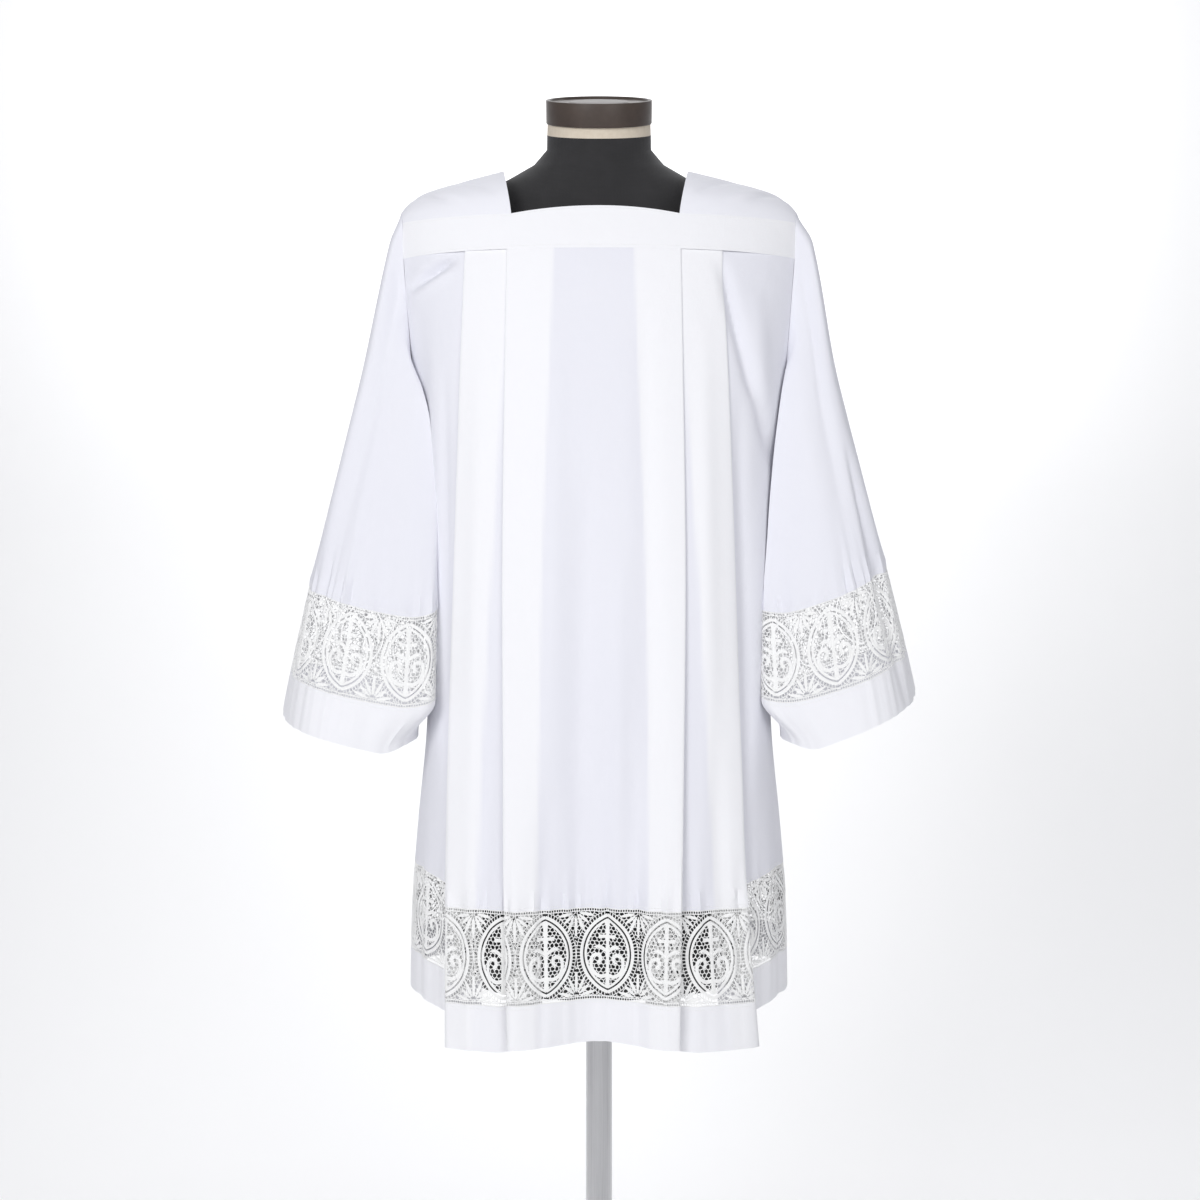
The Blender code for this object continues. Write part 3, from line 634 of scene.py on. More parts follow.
class Finish:
    """A material, and the steps that build its nodes."""

    def __init__(self, name, colour, roughness, metallic=0.0, sheen=0.0):
        self.material = bpy.data.materials.new(name)
        self.material.use_nodes = True
        self.links = self.material.node_tree.links
        self.shader = self.material.node_tree.nodes["Principled BSDF"]
        self.shader.inputs["Base Color"].default_value = (*colour, 1)
        self.shader.inputs["Roughness"].default_value = roughness
        self.shader.inputs["Metallic"].default_value = metallic
        self.shader.inputs["Sheen Weight"].default_value = sheen

    def node(self, kind, **values):
        """A new node; each value is one of its settings or one of its inputs."""
        made = self.material.node_tree.nodes.new(kind)
        for name, value in values.items():
            if hasattr(made, name):
                setattr(made, name, value)
            else:
                made.inputs[name.replace("_", " ")].default_value = value
        return made

    def place(self):
        return self.node("ShaderNodeTexCoord").outputs["Object"]

    def noise(self, place, **values):
        made = self.node("ShaderNodeTexNoise", **values)
        self.links.new(place, made.inputs["Vector"])
        return made.outputs["Fac"]

    def mixed(self, share, first, second):
        """A colour between two, each a colour or a socket."""
        mix = self.node("ShaderNodeMix", data_type="RGBA")
        self.links.new(share, mix.inputs["Factor"])
        for socket, value in ((mix.inputs[6], first), (mix.inputs[7], second)):
            if isinstance(value, tuple):
                socket.default_value = (*value, 1)
            else:
                self.links.new(value, socket)
        return mix.outputs[2]

    def toned(self, share, first, second):
        """Gives the surface a colour that varies between two."""
        self.links.new(self.mixed(share, first, second), self.shader.inputs["Base Color"])

    def woven(self, place, period, first="X", second="Y"):
        """The height of a plain weave: threads both ways, a period apart."""
        both = self.node("ShaderNodeMath", operation="MULTIPLY")
        for direction, factor in zip((first, second), both.inputs):
            wave = self.node(
                "ShaderNodeTexWave", bands_direction=direction, Distortion=0.4,
                Scale=2 * math.pi / (WAVE_TURNS * period),
            )
            self.links.new(place, wave.inputs["Vector"])
            self.links.new(wave.outputs["Fac"], factor)
        return both.outputs[0]

    def bumped(self, *layers):
        """Lays bumps over each other: (height socket, strength, distance in metres)."""
        into = self.shader.inputs["Normal"]
        for height, strength, distance in reversed(layers):
            bump = self.node("ShaderNodeBump", Strength=strength, Distance=distance)
            self.links.new(height, bump.inputs["Height"])
            self.links.new(bump.outputs["Normal"], into)
            into = bump.inputs["Normal"]


def cotton_finish():
    """Pressed poly-cotton: a faint cool cast where it is single, whiter where it is double; on
    the straps it is held partway between, as painted shade.
    """
    cotton = Finish("white_cotton", (0.9, 0.9, 0.93), 0.86, sheen=0.10)
    cotton.shader.inputs["Sheen Roughness"].default_value = 0.5
    place = cotton.place()
    cast = cotton.noise(place, Scale=5.0, Detail=3.0, Roughness=0.5)
    single = cotton.mixed(cast, (0.815, 0.818, 0.880), (0.850, 0.852, 0.902))
    double = cotton.node("ShaderNodeAttribute", attribute_name="doubled").outputs["Fac"]
    cotton.toned(double, single, (0.918, 0.918, 0.940))
    rumple = cotton.noise(place, Scale=34.0, Detail=4.0, Roughness=0.55)
    cut_map = cotton.node("ShaderNodeUVMap", uv_map="cut").outputs["UV"]
    cotton.bumped((rumple, 0.45, 0.0016), (cotton.woven(cut_map, 0.0009), 0.30, 0.00012))
    return cotton.material


def lace_finish():
    """White cotton cord, with the turns of its threads."""
    lace_white = Finish("white_lace", (0.94, 0.94, 0.93), 0.9, sheen=0.10)
    place = lace_white.place()
    tone = lace_white.noise(place, Scale=60.0, Detail=2.0)
    lace_white.toned(tone, (0.90, 0.90, 0.885), (0.96, 0.96, 0.955))
    lace_white.bumped((lace_white.noise(place, Scale=1400.0, Detail=2.0), 0.5, 0.0002))
    return lace_white.material


def jersey_finish():
    """Black cotton jersey, drawn over the form."""
    jersey = Finish("black_jersey", (0.02, 0.02, 0.022), 0.9, sheen=0.2)
    place = jersey.place()
    tone = jersey.noise(place, Scale=40.0, Detail=4.0)
    jersey.toned(tone, (0.014, 0.014, 0.015), (0.030, 0.029, 0.031))
    jersey.bumped((jersey.woven(place, 0.0016, "X", "Z"), 0.4, 0.0003))
    return jersey.material


def linen_finish():
    """Natural linen, stretched over the form's neck."""
    linen = Finish("natural_linen", (0.72, 0.63, 0.51), 0.88, sheen=0.1)
    place = linen.place()
    slub = linen.noise(place, Scale=160.0, Detail=4.0, Roughness=0.7)
    linen.toned(slub, (0.64, 0.55, 0.43), (0.80, 0.72, 0.60))
    linen.bumped((linen.woven(place, 0.0013, "X", "Z"), 0.5, 0.0003))
    return linen.material


def cap_finish():
    """Dark brown moulded cap, half gloss, worn a little on its top."""
    brown = Finish("brown_cap", (0.055, 0.038, 0.030), 0.42)
    place = brown.place()
    wear = brown.noise(place, Scale=55.0, Detail=6.0, Roughness=0.65)
    brown.toned(wear, (0.040, 0.028, 0.022), (0.085, 0.062, 0.050))
    brown.bumped((brown.noise(place, Scale=420.0, Detail=3.0), 0.15, 0.0003))
    return brown.material


def steel_finish():
    """Brushed steel tube."""
    steel = Finish("brushed_steel", (0.62, 0.62, 0.63), 0.32, metallic=1.0)
    stretch = steel.node("ShaderNodeMapping", Scale=(900, 900, 12))
    steel.links.new(steel.place(), stretch.inputs["Vector"])
    brush = steel.noise(stretch.outputs["Vector"], Scale=1.0, Detail=3.0)
    steel.toned(brush, (0.52, 0.52, 0.53), (0.70, 0.70, 0.71))
    steel.bumped((brush, 0.15, 0.0002))
    return steel.material


def enamel_finish():
    """Black enamel with a faint orange peel."""
    enamel = Finish("black_enamel", (0.03, 0.03, 0.032), 0.35)
    peel = enamel.noise(enamel.place(), Scale=260.0, Detail=3.0)
    enamel.toned(peel, (0.024, 0.024, 0.026), (0.040, 0.040, 0.043))
    enamel.bumped((peel, 0.2, 0.0004))
    return enamel.material


# ---------------------------------------------------------------- lace


def vesica(half_width, half_height, count):
    """One side of a pointed oval, top to bottom, round the middle of the lace."""
    radius = (half_height**2 + half_width**2) / (2 * half_width)
    reach = math.asin(half_height / radius)
    turn = np.linspace(-reach, reach, count)
    x = radius * np.cos(turn) - (radius - half_width)
    return np.stack([x, LACE_HEIGHT / 2 + radius * np.sin(turn)], axis=1)


def inside_vesica(half_width, half_height, x, y):
    radius = (half_height**2 + half_width**2) / (2 * half_width)
    return np.hypot(np.abs(x) + radius - half_width, y - LACE_HEIGHT / 2) < radius


def curved(points, count):
    """A smooth line through a few points."""
    points = np.array(points, float)
    run = run_along(points)
    return hermite(run, points, np.linspace(0, run[-1], count))


def from_edge(y, end):
    return y if end == 0 else LACE_HEIGHT - y


def lace_tapes():
    """The wide strokes of one repeat: (points, half width at each point, half height)."""
    tapes = []

    def add(points, half, height=0.5):
        points = np.asarray(points, float)
        tapes.append((points, np.broadcast_to(half, len(points)).astype(float), height))

    for oval, half in ((OUTER_CORD, 1.75), (INNER_CORD, 1.30)):
        for side in (-1, 1):
            add(vesica(*oval, 31) * (side, 1), half)
    for side in (-1, 1):
        add(vesica(*EDGE_CORD, 29) * (side, 1), 0.40, 0.35)
    # The motif: a plain flared cross on a staff, between two leafy scrolls.
    staff = np.stack([np.zeros(21), np.linspace(*STAFF, 21)], axis=1)
    add(staff, 1.9 + 1.0 * np.abs(np.linspace(-1, 1, 21)) ** 4)
    arm = np.stack([np.linspace(-CROSS_ARM, CROSS_ARM, 9), np.full(9, CROSS_AT)], axis=1)
    add(arm, 1.7 + 0.8 * np.abs(np.linspace(-1, 1, 9)) ** 3)
    for side in (-1, 1):
        add(curved(SCROLL, 22) * (side, 1), np.linspace(2.1, 1.5, 22))
        add(curved(LEAF, 9) * (side, 1), 0.4 + 1.6 * np.sin(np.linspace(0.1, math.pi, 9)))
    # Fans of leaves in the corners between two ovals, from the beaded edges.
    for end in (0, 1):
        for turn, length in CORNER_LEAVES:
            away = math.radians(turn)
            reach = np.linspace(4.0, 4.0 + length, 7)
            x = LACE_PITCH / 2 + reach * math.sin(away)
            y = from_edge(4.5 + reach * math.cos(away), end)
            half = 0.3 + 1.45 * np.sin(np.linspace(0.05, math.pi - 0.05, 7))
            add(np.stack([x, y], axis=1), half)
    for end in (0, 1):
        for inset in EDGE_TAPES:
            x = np.linspace(-LACE_PITCH / 2, LACE_PITCH / 2, 29)
            add(np.stack([x, np.full(29, from_edge(inset, end))], axis=1), 0.55, 0.4)
    return tapes


def lace_bars():
    """The thin straight bars of one repeat, as pairs of end points."""
    chance = np.random.default_rng(7)
    bars = []
    # Net: a honeycomb with its corners pushed about.
    wide, tall = math.sqrt(3) * NET_SIDE, 1.5 * NET_SIDE
    jitter = {}

    def pushed(x):
        return x + chance.uniform(-NET_JITTER, NET_JITTER)

    def corner(x, y, degrees):
        x += NET_SIDE * math.cos(math.radians(degrees))
        y += NET_SIDE * math.sin(math.radians(degrees))
        key = (round(x, 2), round(y, 2))
        if key not in jitter:
            jitter[key] = (pushed(x), pushed(y))
        return jitter[key]

    for row in range(-2, int(LACE_HEIGHT / tall) + 3):
        for column in range(-10, 11):
            x = (column + 0.5 * (row % 2)) * wide
            y = row * tall + 1.0
            for start, end in ((30, 90), (90, 150), (150, 210)):
                ends = [corner(x, y, start), corner(x, y, end)]
                mid_x, mid_y = np.mean(ends, axis=0)
                if abs(mid_x) > LACE_PITCH / 2:
                    continue
                if not NET_MARGIN < mid_y < LACE_HEIGHT - NET_MARGIN:
                    continue
                within = inside_vesica(*NET_WITHIN, mid_x, mid_y)
                if within or not inside_vesica(*NET_BEYOND, mid_x, mid_y):
                    bars.append(ends)
    # Spokes all round each oval, and rungs along both edges.
    for hand in (-1, 1):
        inner, outer = (vesica(*oval, 34)[1:-1] * (hand, 1) for oval in (SPOKES_FROM, SPOKES_TO))
        bars.extend(zip(inner.tolist(), outer.tolist()))
    for step in range(RUNG_COUNT):
        x = (step + 0.5) * LACE_PITCH / RUNG_COUNT - LACE_PITCH / 2
        low, high = RUNG
        for y_1, y_2 in (RUNG, (LACE_HEIGHT - high, LACE_HEIGHT - low)):
            bars.append(((x, y_1), (x, y_2)))
    return np.array(bars, float)


def stroke_points(surface, points, half, height, corners):
    """The points of strokes laid on a surface. points is (strokes, steps, 2) in mm."""
    points = np.asarray(points, float)
    along = np.gradient(points, axis=1)
    along /= np.linalg.norm(along, axis=2, keepdims=True)
    sideways = np.stack([-along[..., 1], along[..., 0]], axis=-1) * half[..., None]
    place = {"left": (1, 0), "top": (0, height), "right": (-1, 0), "bottom": (0, -height)}
    found = []
    for name in corners:
        hand, off = place[name]
        at = points + hand * sideways
        lift = np.full(at.shape[:2], off / 1000)
        found.append(surface.at(at[..., 0] / 1000, at[..., 1] / LACE_HEIGHT, lift))
    return np.stack(found, axis=2)


def stroke_faces(strokes, steps, corners, start):
    """Closed prisms: sides between the steps and a cap at each end."""
    index = start + np.arange(strokes * steps * corners).reshape(strokes, steps, corners)
    around = np.roll(index, -1, axis=2)
    quads = [index[:, :-1], around[:, :-1], around[:, 1:], index[:, 1:]]
    caps = np.concatenate([index[:, 0, ::-1], index[:, -1]])
    return np.stack(quads, axis=-1).reshape(-1, 4).tolist() + caps.tolist()


def lace(name, grid, finish_used, phase, ring=False):
    """Lays the lace on a band. phase is where an oval's middle falls, in metres along it."""
    surface = Surface(grid, ring)
    length = surface.length * 1000
    pitch = length / round(length / LACE_PITCH) if ring else LACE_PITCH
    tapes, bars = lace_tapes(), lace_bars()
    first = math.floor(-phase * 1000 / pitch) - 1
    repeats = range(first, first + math.ceil(length / pitch) + 4)
    stretch = pitch / LACE_PITCH
    points, faces = [], []
    total = 0

    def lay(group, half, height, corners):
        nonlocal total
        made = stroke_points(surface, group, half, height, corners)
        faces.extend(stroke_faces(group.shape[0], group.shape[1], len(corners), total))
        points.append(made.reshape(-1, 3))
        total += made.size // 3

    for shift in (phase * 1000 + k * pitch for k in repeats):
        moved = bars * (stretch, 1) + (shift, 0)
        x = moved[..., 0]
        if ring:
            middle = x.mean(axis=1)
            kept = moved[(middle >= 0) & (middle < length)]
            kept[..., 0] = np.clip(kept[..., 0], 0, length)
        else:
            kept = moved[(x.min(axis=1) > 0) & (x.max(axis=1) < length)]
        if len(kept):
            half = np.full(kept.shape[:2], BAR_HALF)
            lay(kept, half, BAR_HEIGHT, ("left", "top", "right"))
        for tape, half, height in tapes:
            run = tape * (stretch, 1) + (shift, 0)
            inside = (run[:, 0] >= -0.01) & (run[:, 0] <= length + 0.01)
            edges = np.flatnonzero(np.diff(np.concatenate([[0], inside.astype(int), [0]])))
            for begin, end in zip(edges[::2], edges[1::2]):
                if end - begin < 2:
                    continue
                part = run[begin:end][None]
                lay(part, half[begin:end][None], height, ("left", "top", "right", "bottom"))
    return piece(name, np.concatenate(points), faces, finish_used, sharp=70)


# ---------------------------------------------------------------- sewing

STITCH = 0.0030  # from one stitch to the next
STITCH_LENGTH = 0.0021
STITCH_HALF = 0.00028
# How far down a run of stitches lies, as a share of the few rows of the grid under it.
SEAM_ABOVE, SEAM_BELOW, SEAM_ARMHOLE = 0.60, 0.35, 0.25
BAND_EDGES = (0.93, 0.06)


def stitches(name, rows, thread):
    """Runs of small stitches: (surface, share down it, wall it lies on) for each run."""
    points, faces, total = [], [], 0
    for surface, down, wall_thickness in rows:
        count = int(surface.length / STITCH)
        at = (np.arange(count) + 0.5) * surface.length / count
        base = wall_thickness / 2
        tall = np.linalg.norm(surface.grid[0, 0] - surface.grid[-1, 0])
        aside = STITCH_HALF / tall
        parts = (
            (-STITCH_LENGTH / 2, 0, 0), (0, -aside, 0), (0, 0, STITCH_HALF),
            (0, aside, 0), (0, 0, -STITCH_HALF), (STITCH_LENGTH / 2, 0, 0),
        )
        made = [
            surface.at(at + along, np.full(count, down + lower), np.full(count, base + off))
            for along, lower, off in parts
        ]
        points.append(np.stack(made, axis=1).reshape(-1, 3))
        corner = total + 6 * np.arange(count)[:, None]
        for k in range(4):
            n = (k + 1) % 4
            faces.extend((corner + (0, 1 + k, 1 + n)).tolist())
            faces.extend((corner + (5, 1 + n, 1 + k)).tolist())
        total += 6 * count
    return piece(name, np.concatenate(points), faces, thread, sharp=180)


# ---------------------------------------------------------------- garment


PROUD_TO = 0.110  # the bands stand out over the pleats this far from the middle
PROUD_FADE = 0.100


def band_point(x, z, face):
    proud = 4 * PLEAT_TOP_STEP * (1 - ease((abs(x) - PROUD_TO) / PROUD_FADE))
    point = guide(angle_at(abs(x), z), proud, z, face)
    return point * np.array([1 if x > 0 else -1, 1, 1])


def band_top(x, face):
    corner = NECK_CORNER[1 if x > 0 else -1]
    arch = BAND_ARCH if face < 0 else BAND_ARCH / 2
    return BAND_TOP + arch * max(0.0, 1 - (x / corner) ** 2)


def band_grid(x_from, x_to, face, count, rows=9):
    corners = [side * NECK_CORNER[side] for side in (-1, 1)]
    inside = [x for x in corners if x_from < x < x_to]
    xs = sorted([*np.linspace(x_from, x_to, count), *inside])
    grid = np.empty((rows, len(xs), 3))
    for c, x in enumerate(xs):
        for r, z in enumerate(np.linspace(band_top(x, face), BAND_BOTTOM, rows)):
            grid[r, c] = band_point(x, z, face)
    return grid


def shoulder_height(x, neck_side):
    t = np.clip((x - neck_side) / (SHOULDER_HALF - neck_side), 0, 1)
    fall = SHOULDER_SLOPE * t + (1 - SHOULDER_SLOPE) * t**SHOULDER_POWER
    return NECK_TOP - (NECK_TOP - SHOULDER_END) * fall


def strap_point(share, turn, side):
    over = math.sin(math.pi * turn)
    neck = NECK_CORNER[side] + (NECK_SIDE[side] - NECK_CORNER[side]) * over
    end = BAND_END + (SHOULDER_HALF - BAND_END) * over
    x = neck + share * (end - neck)
    front = band_point(x, BAND_TOP, -1)
    back = band_point(x, BAND_TOP, +1)
    y = (front[1] + back[1]) / 2 - (back[1] - front[1]) / 2 * math.cos(math.pi * turn)
    top = shoulder_height(x, NECK_SIDE[side])
    return np.array([x * side, y, BAND_TOP + (top - BAND_TOP) * over**0.8])


STRAP_ROWS = 81
STRAP_COLUMNS = 61
# Faint pulls across the straps: the share across and the turn over at each end, then half
# width and depth.
STRAP_PULLS = (
    (0.10, 0.10, 0.50, 0.36, 0.038, -0.0036),
    (0.36, 0.08, 0.72, 0.24, 0.034, +0.0026),
    (0.56, 0.10, 0.95, 0.38, 0.038, -0.0036),
    (0.20, 0.95, 0.60, 0.70, 0.040, -0.0024),
    (0.66, 0.96, 0.95, 0.62, 0.045, -0.0018),
)


def strap_grid(side):
    turns = 0.5 - 0.5 * np.cos(np.linspace(0, math.pi, STRAP_ROWS))
    shares = np.linspace(0, 1, STRAP_COLUMNS)
    grid = np.array([[strap_point(s, t, side) for s in shares] for t in turns])
    share, turn = np.meshgrid(shares, turns)
    lift = creased(STRAP_PULLS, share, turn) * np.sin(np.pi * turn) ** 0.5
    across = normals(grid, False, ())
    across *= np.sign(across[..., 2:3].mean())
    return grid + across * lift[..., None]


def resample(points, count):
    points = np.array(points)
    run = run_along(points)
    at = np.linspace(0, run[-1], count)
    return np.stack([np.interp(at, run, points[:, k]) for k in range(3)], axis=1)


def armhole(side, count):
    halves = []
    for face in (-1, 1):
        turns = np.linspace(0.5, 0.0, 24)
        path = [strap_point(1, t if face < 0 else 1 - t, side) for t in turns]
        for share in np.linspace(0, 1, 40):
            top = np.array(arm_top(share))
            point = guide(arm_angle(share, top), 0 * top, top, face)
            path.append(point * np.array([side, 1, 1]))
        halves.append(resample(path, count // 2 + 1))
    ring = np.concatenate([halves[0], halves[1][-2:0:-1]])
    ring[:, 0] += side * ARMHOLE_SEAM
    return ring


def cuff(value, count):
    angles = np.arange(count) * 2 * math.pi / count
    power = 2 / CUFF_POWER
    cos, sin = np.cos(angles), np.sin(angles)
    u = value["half_x"] * np.sign(cos) * np.abs(cos) ** power
    v = -value["half_y"] * np.sign(sin) * np.abs(sin) ** power
    turn = math.radians(value["turn"])
    x = u * math.cos(turn) + v * math.sin(turn)
    y = v * math.cos(turn) - u * math.sin(turn)
    z = value["mid_z"] + value["rise_x"] * x + value["rise_y"] * y
    z = z + CUFF_INNER_RISE * ease(
        (-x / value["half_x"] - CUFF_INNER_FROM) / CUFF_INNER_FROM
    )
    x = value["mid_x"] + x
    return np.stack([x * value["side"], value["mid_y"] + y, z], axis=1)


def clear_of_body(points, clearance):
    """Pushes points of a sleeve below the shoulder out to a clearance from the body."""
    x, y, z = points.T
    middle, power = body("mid_y", z), body("power", z)
    width = body("half_width", z) + clearance
    depth = np.where(y < middle, body("front", z), body("back", z)) + clearance
    place = (np.abs(x) / width) ** power + (np.abs(y - middle) / depth) ** power
    out = np.where(place < 1, place ** (-1 / power), 1.0)
    out = out + (1 - out) * ease((z - CLEAR_UP_TO) / (BAND_BOTTOM - CLEAR_UP_TO))
    return np.stack([x * out, middle + (y - middle) * out, z], axis=1)


def round_sleeve(creases):
    """The creases with their angles as distances round the sleeve, and again a turn either
    way, so that one near the outside runs across it."""
    for turned in (-360, 0, 360):
        yield [
            (
                math.radians(angle_1 + turned) * SLEEVE_RADIUS, up_1,
                math.radians(angle_2 + turned) * SLEEVE_RADIUS, up_2, width, depth,
            )
            for angle_1, up_1, angle_2, up_2, width, depth in creases
        ]


def sleeve_grid(row, creases, high, low, shares):
    """Rows of a sleeve between two distances from its hem; None is the armhole."""
    value = row_named(CUFF_COLUMNS, row)
    side = value["side"]
    top = armhole(side, SLEEVE_COLUMNS)
    bottom = cuff(value, SLEEVE_COLUMNS)
    length = np.linalg.norm(top - bottom, axis=1)
    far = length if high is None else np.full(SLEEVE_COLUMNS, high)
    angles = np.arange(SLEEVE_COLUMNS) * 2 * math.pi / SLEEVE_COLUMNS
    outer = 0.5 + 0.5 * np.cos(angles)
    fold = np.clip(np.cos(angles - math.radians(SLEEVE_FRONT_ANGLE)), 0, 1) ** 8
    out = np.stack([side * np.cos(angles), -np.sin(angles), 0 * angles], axis=1)
    rows = []
    for share in shares:
        distance = far + (low - far) * share
        up = distance / length
        points = bottom + (top - bottom) * up[:, None]
        bulge = value["bulge"] * np.sin(np.pi * up**0.7)
        cap = value["cap"] * ease((1 - up) / CAP_RISE) * (1 - ease((CAP_END - up) / CAP_FALL))
        points[:, 0] += side * outer * (bulge + cap)
        swing = fold * ease(up / SWING_FROM_HEM) * ease((1 - up) / SWING_FROM_ARMHOLE)
        points[:, 0] -= side * SLEEVE_FRONT * swing
        points[:, 1] -= SLEEVE_FORWARD[side] * swing
        clearance = SLEEVE_CLEAR[side] * ease((1 - up) / CLEAR_FROM_ARMHOLE)
        points = clear_of_body(points, clearance)
        around = angles * SLEEVE_RADIUS
        lift = gathered(around, distance - SLEEVE_LACE_TOP, SLEEVE_LACE_TOP - distance)
        for turned_creases in round_sleeve(creases):
            lift = lift + creased(turned_creases, around, distance)
        lift = lift * ease((length - distance) / SLEEVE_FLAT)
        rows.append(points + out * lift[:, None])
    return np.array(rows)


def cut(piece_made, grid, held="hung", solid=1.0, ring=False, **more):
    """Works out the sheet a piece was cut from: the longest run across and down its grid, and
    the area of the grid times the share of it that is cloth. It keeps and returns neither."""
    if ring:
        grid = np.concatenate([grid, grid[:, :1]], axis=1)
    u, v = runs(grid)
    flat = (round(float(u[:, -1].max()), 3), round(float(v[-1].max()), 3))
    across, down = np.diff(grid, axis=1)[:-1], np.diff(grid, axis=0)[:, :-1]
    area = float(np.linalg.norm(np.cross(across, down), axis=2).sum()) * solid
    area = min(area, flat[0] * flat[1])


# Rows down the pieces, as shares of their height.
LACE_SHARES = np.linspace(0, 1, 13)
HEM_SHARES = np.linspace(0, 1, 11)
SLEEVE_SHARES = np.linspace(0, 1, 62)


def body_pieces(cotton, lace_white, thread):
    """The front and the back, each with its lace and its hem band."""
    # Closer rows where the drag lines and the gathers are.
    main_shares = np.concatenate(
        [
            np.linspace(0, 0.075, 27),
            np.linspace(0.075, 0.30, 30)[1:],
            np.linspace(0.30, 0.86, 46)[1:],
            np.linspace(0.86, 1, 28)[1:],
        ]
    )
    for hand, pleats, creases, face in (
        ("front", FRONT_PLEATS, FRONT_CREASES, -1), ("back", BACK_PLEATS, BACK_CREASES, 1),
    ):
        grid, doubled = pleated(pleats, creases, face, "top", "lace_top", main_shares)
        tucked = grid[0].copy()
        behind = ease((tucked[:, 2] - BAND_BOTTOM) / TUCK_EDGE + 1)
        tucked[:, 1] -= face * TUCK_IN * behind
        tucked[:, 2] += TUCK_RISE * behind + TUCK_LEAST * (1 - behind)
        hung = np.concatenate([tucked[None], grid])
        under = np.concatenate([doubled[:1], doubled])
        panel = wall(f"{hand}_panel_cloth", hung, CLOTH, cotton, doubled=under)
        stands_for(f"{hand}_panel")

        band, _ = pleated(pleats, creases, face, "lace_top", "lace_bottom", LACE_SHARES)
        middle = Surface(band).length / 2
        start = middle + (FRONT_LACE_SHIFT if face < 0 else 0)
        openwork = lace(f"{hand}_lace_work", band, lace_white, start)
        stands_for(f"{hand}_lace")

        low, turned_up = pleated(pleats, creases, face, "lace_bottom", "hem", HEM_SHARES)
        turned_up = np.maximum(turned_up, HEM_DOUBLED)
        hem = wall(f"{hand}_hem_cloth", low, CLOTH, cotton, doubled=turned_up)
        stands_for(f"{hand}_hem")

        seams = [(Surface(grid[-3:]), SEAM_ABOVE, CLOTH), (Surface(low[:3]), SEAM_BELOW, CLOTH)]
        sewn = stitches(f"{hand}_stitches", seams, thread)
        cut(panel, grid, with_pieces=[sewn])
        cut(openwork, band, solid=LACE_THREAD)
        cut(hem, low)


def sleeve_pieces(cotton, lace_white, thread):
    for row, hand, creases in zip(
        CUFFS, ("left", "right"), (LEFT_SLEEVE_CREASES, RIGHT_SLEEVE_CREASES)
    ):
        main = sleeve_grid(row, creases, None, SLEEVE_LACE_TOP, SLEEVE_SHARES)
        tube = wall(f"sleeve_{hand}_cloth", main, CLOTH, cotton, ring=True)
        stands_for(f"sleeve_{hand}")

        band = sleeve_grid(row, creases, SLEEVE_LACE_TOP, SLEEVE_HEM, LACE_SHARES)
        start = SLEEVE_LACE_START[hand]
        openwork = lace(f"sleeve_lace_{hand}_work", band, lace_white, start, ring=True)
        stands_for(f"sleeve_lace_{hand}")

        low = sleeve_grid(row, creases, SLEEVE_HEM, 0, HEM_SHARES)
        turned_up = np.full(low.shape[:2], HEM_DOUBLED)
        hem = wall(
            f"sleeve_hem_{hand}_cloth", low, CLOTH, cotton, ring=True, doubled=turned_up
        )
        stands_for(f"sleeve_hem_{hand}")

        seams = [
            (Surface(main[-3:], True), SEAM_ABOVE, CLOTH),
            (Surface(low[:3], True), SEAM_BELOW, CLOTH),
            (Surface(main[:3], True), SEAM_ARMHOLE, CLOTH),
        ]
        sewn = stitches(f"sleeve_{hand}_stitches", seams, thread)
        cut(tube, main, ring=True, with_pieces=[sewn])
        cut(openwork, band, solid=LACE_THREAD, ring=True)
        cut(hem, low, ring=True)


def yoke_piece(name, grid, cotton, doubled, level_rows=(0, -1)):
    # For the straps, doubled is set below 1 as painted shade.
    share = np.full(grid.shape[:2], float(doubled))
    made = wall(f"{name}_cloth", grid, YOKE, cotton, level_rows=level_rows, doubled=share)
    stands_for(name)
    cut(made, grid, held="stretched")


def yoke_pieces(cotton, thread):
    seams = []
    for name, x_from, x_to, face, count in (
        ("front_band_left", -BAND_END, -BAND_SEAM_LEFT, -1, 20),
        ("front_band_centre", -BAND_SEAM_LEFT, BAND_SEAM_RIGHT, -1, 60),
        ("front_band_right", BAND_SEAM_RIGHT, BAND_END, -1, 20),
        ("back_band", -BAND_END, BAND_END, 1, 90),
    ):
        grid = band_grid(x_from, x_to, face, count)
        yoke_piece(name, grid, cotton, 1, level_rows="all")
        seams.extend((Surface(grid), down, YOKE) for down in BAND_EDGES)
    for side, hand in ((-1, "left"), (1, "right")):
        # The straps are drawn less white than their doubled cloth: painted shade.
        yoke_piece(f"strap_{hand}", strap_grid(side), cotton, STRAP_DOUBLED_WITH_PAINTED_SHADE)
    sewn = stitches("yoke_stitches", seams, thread)


# ---------------------------------------------------------------- dress form


def tip(degrees, place):
    if degrees:
        turned = math.radians(degrees)
        bpy.ops.transform.rotate(value=turned, orient_axis="X", center_override=place)


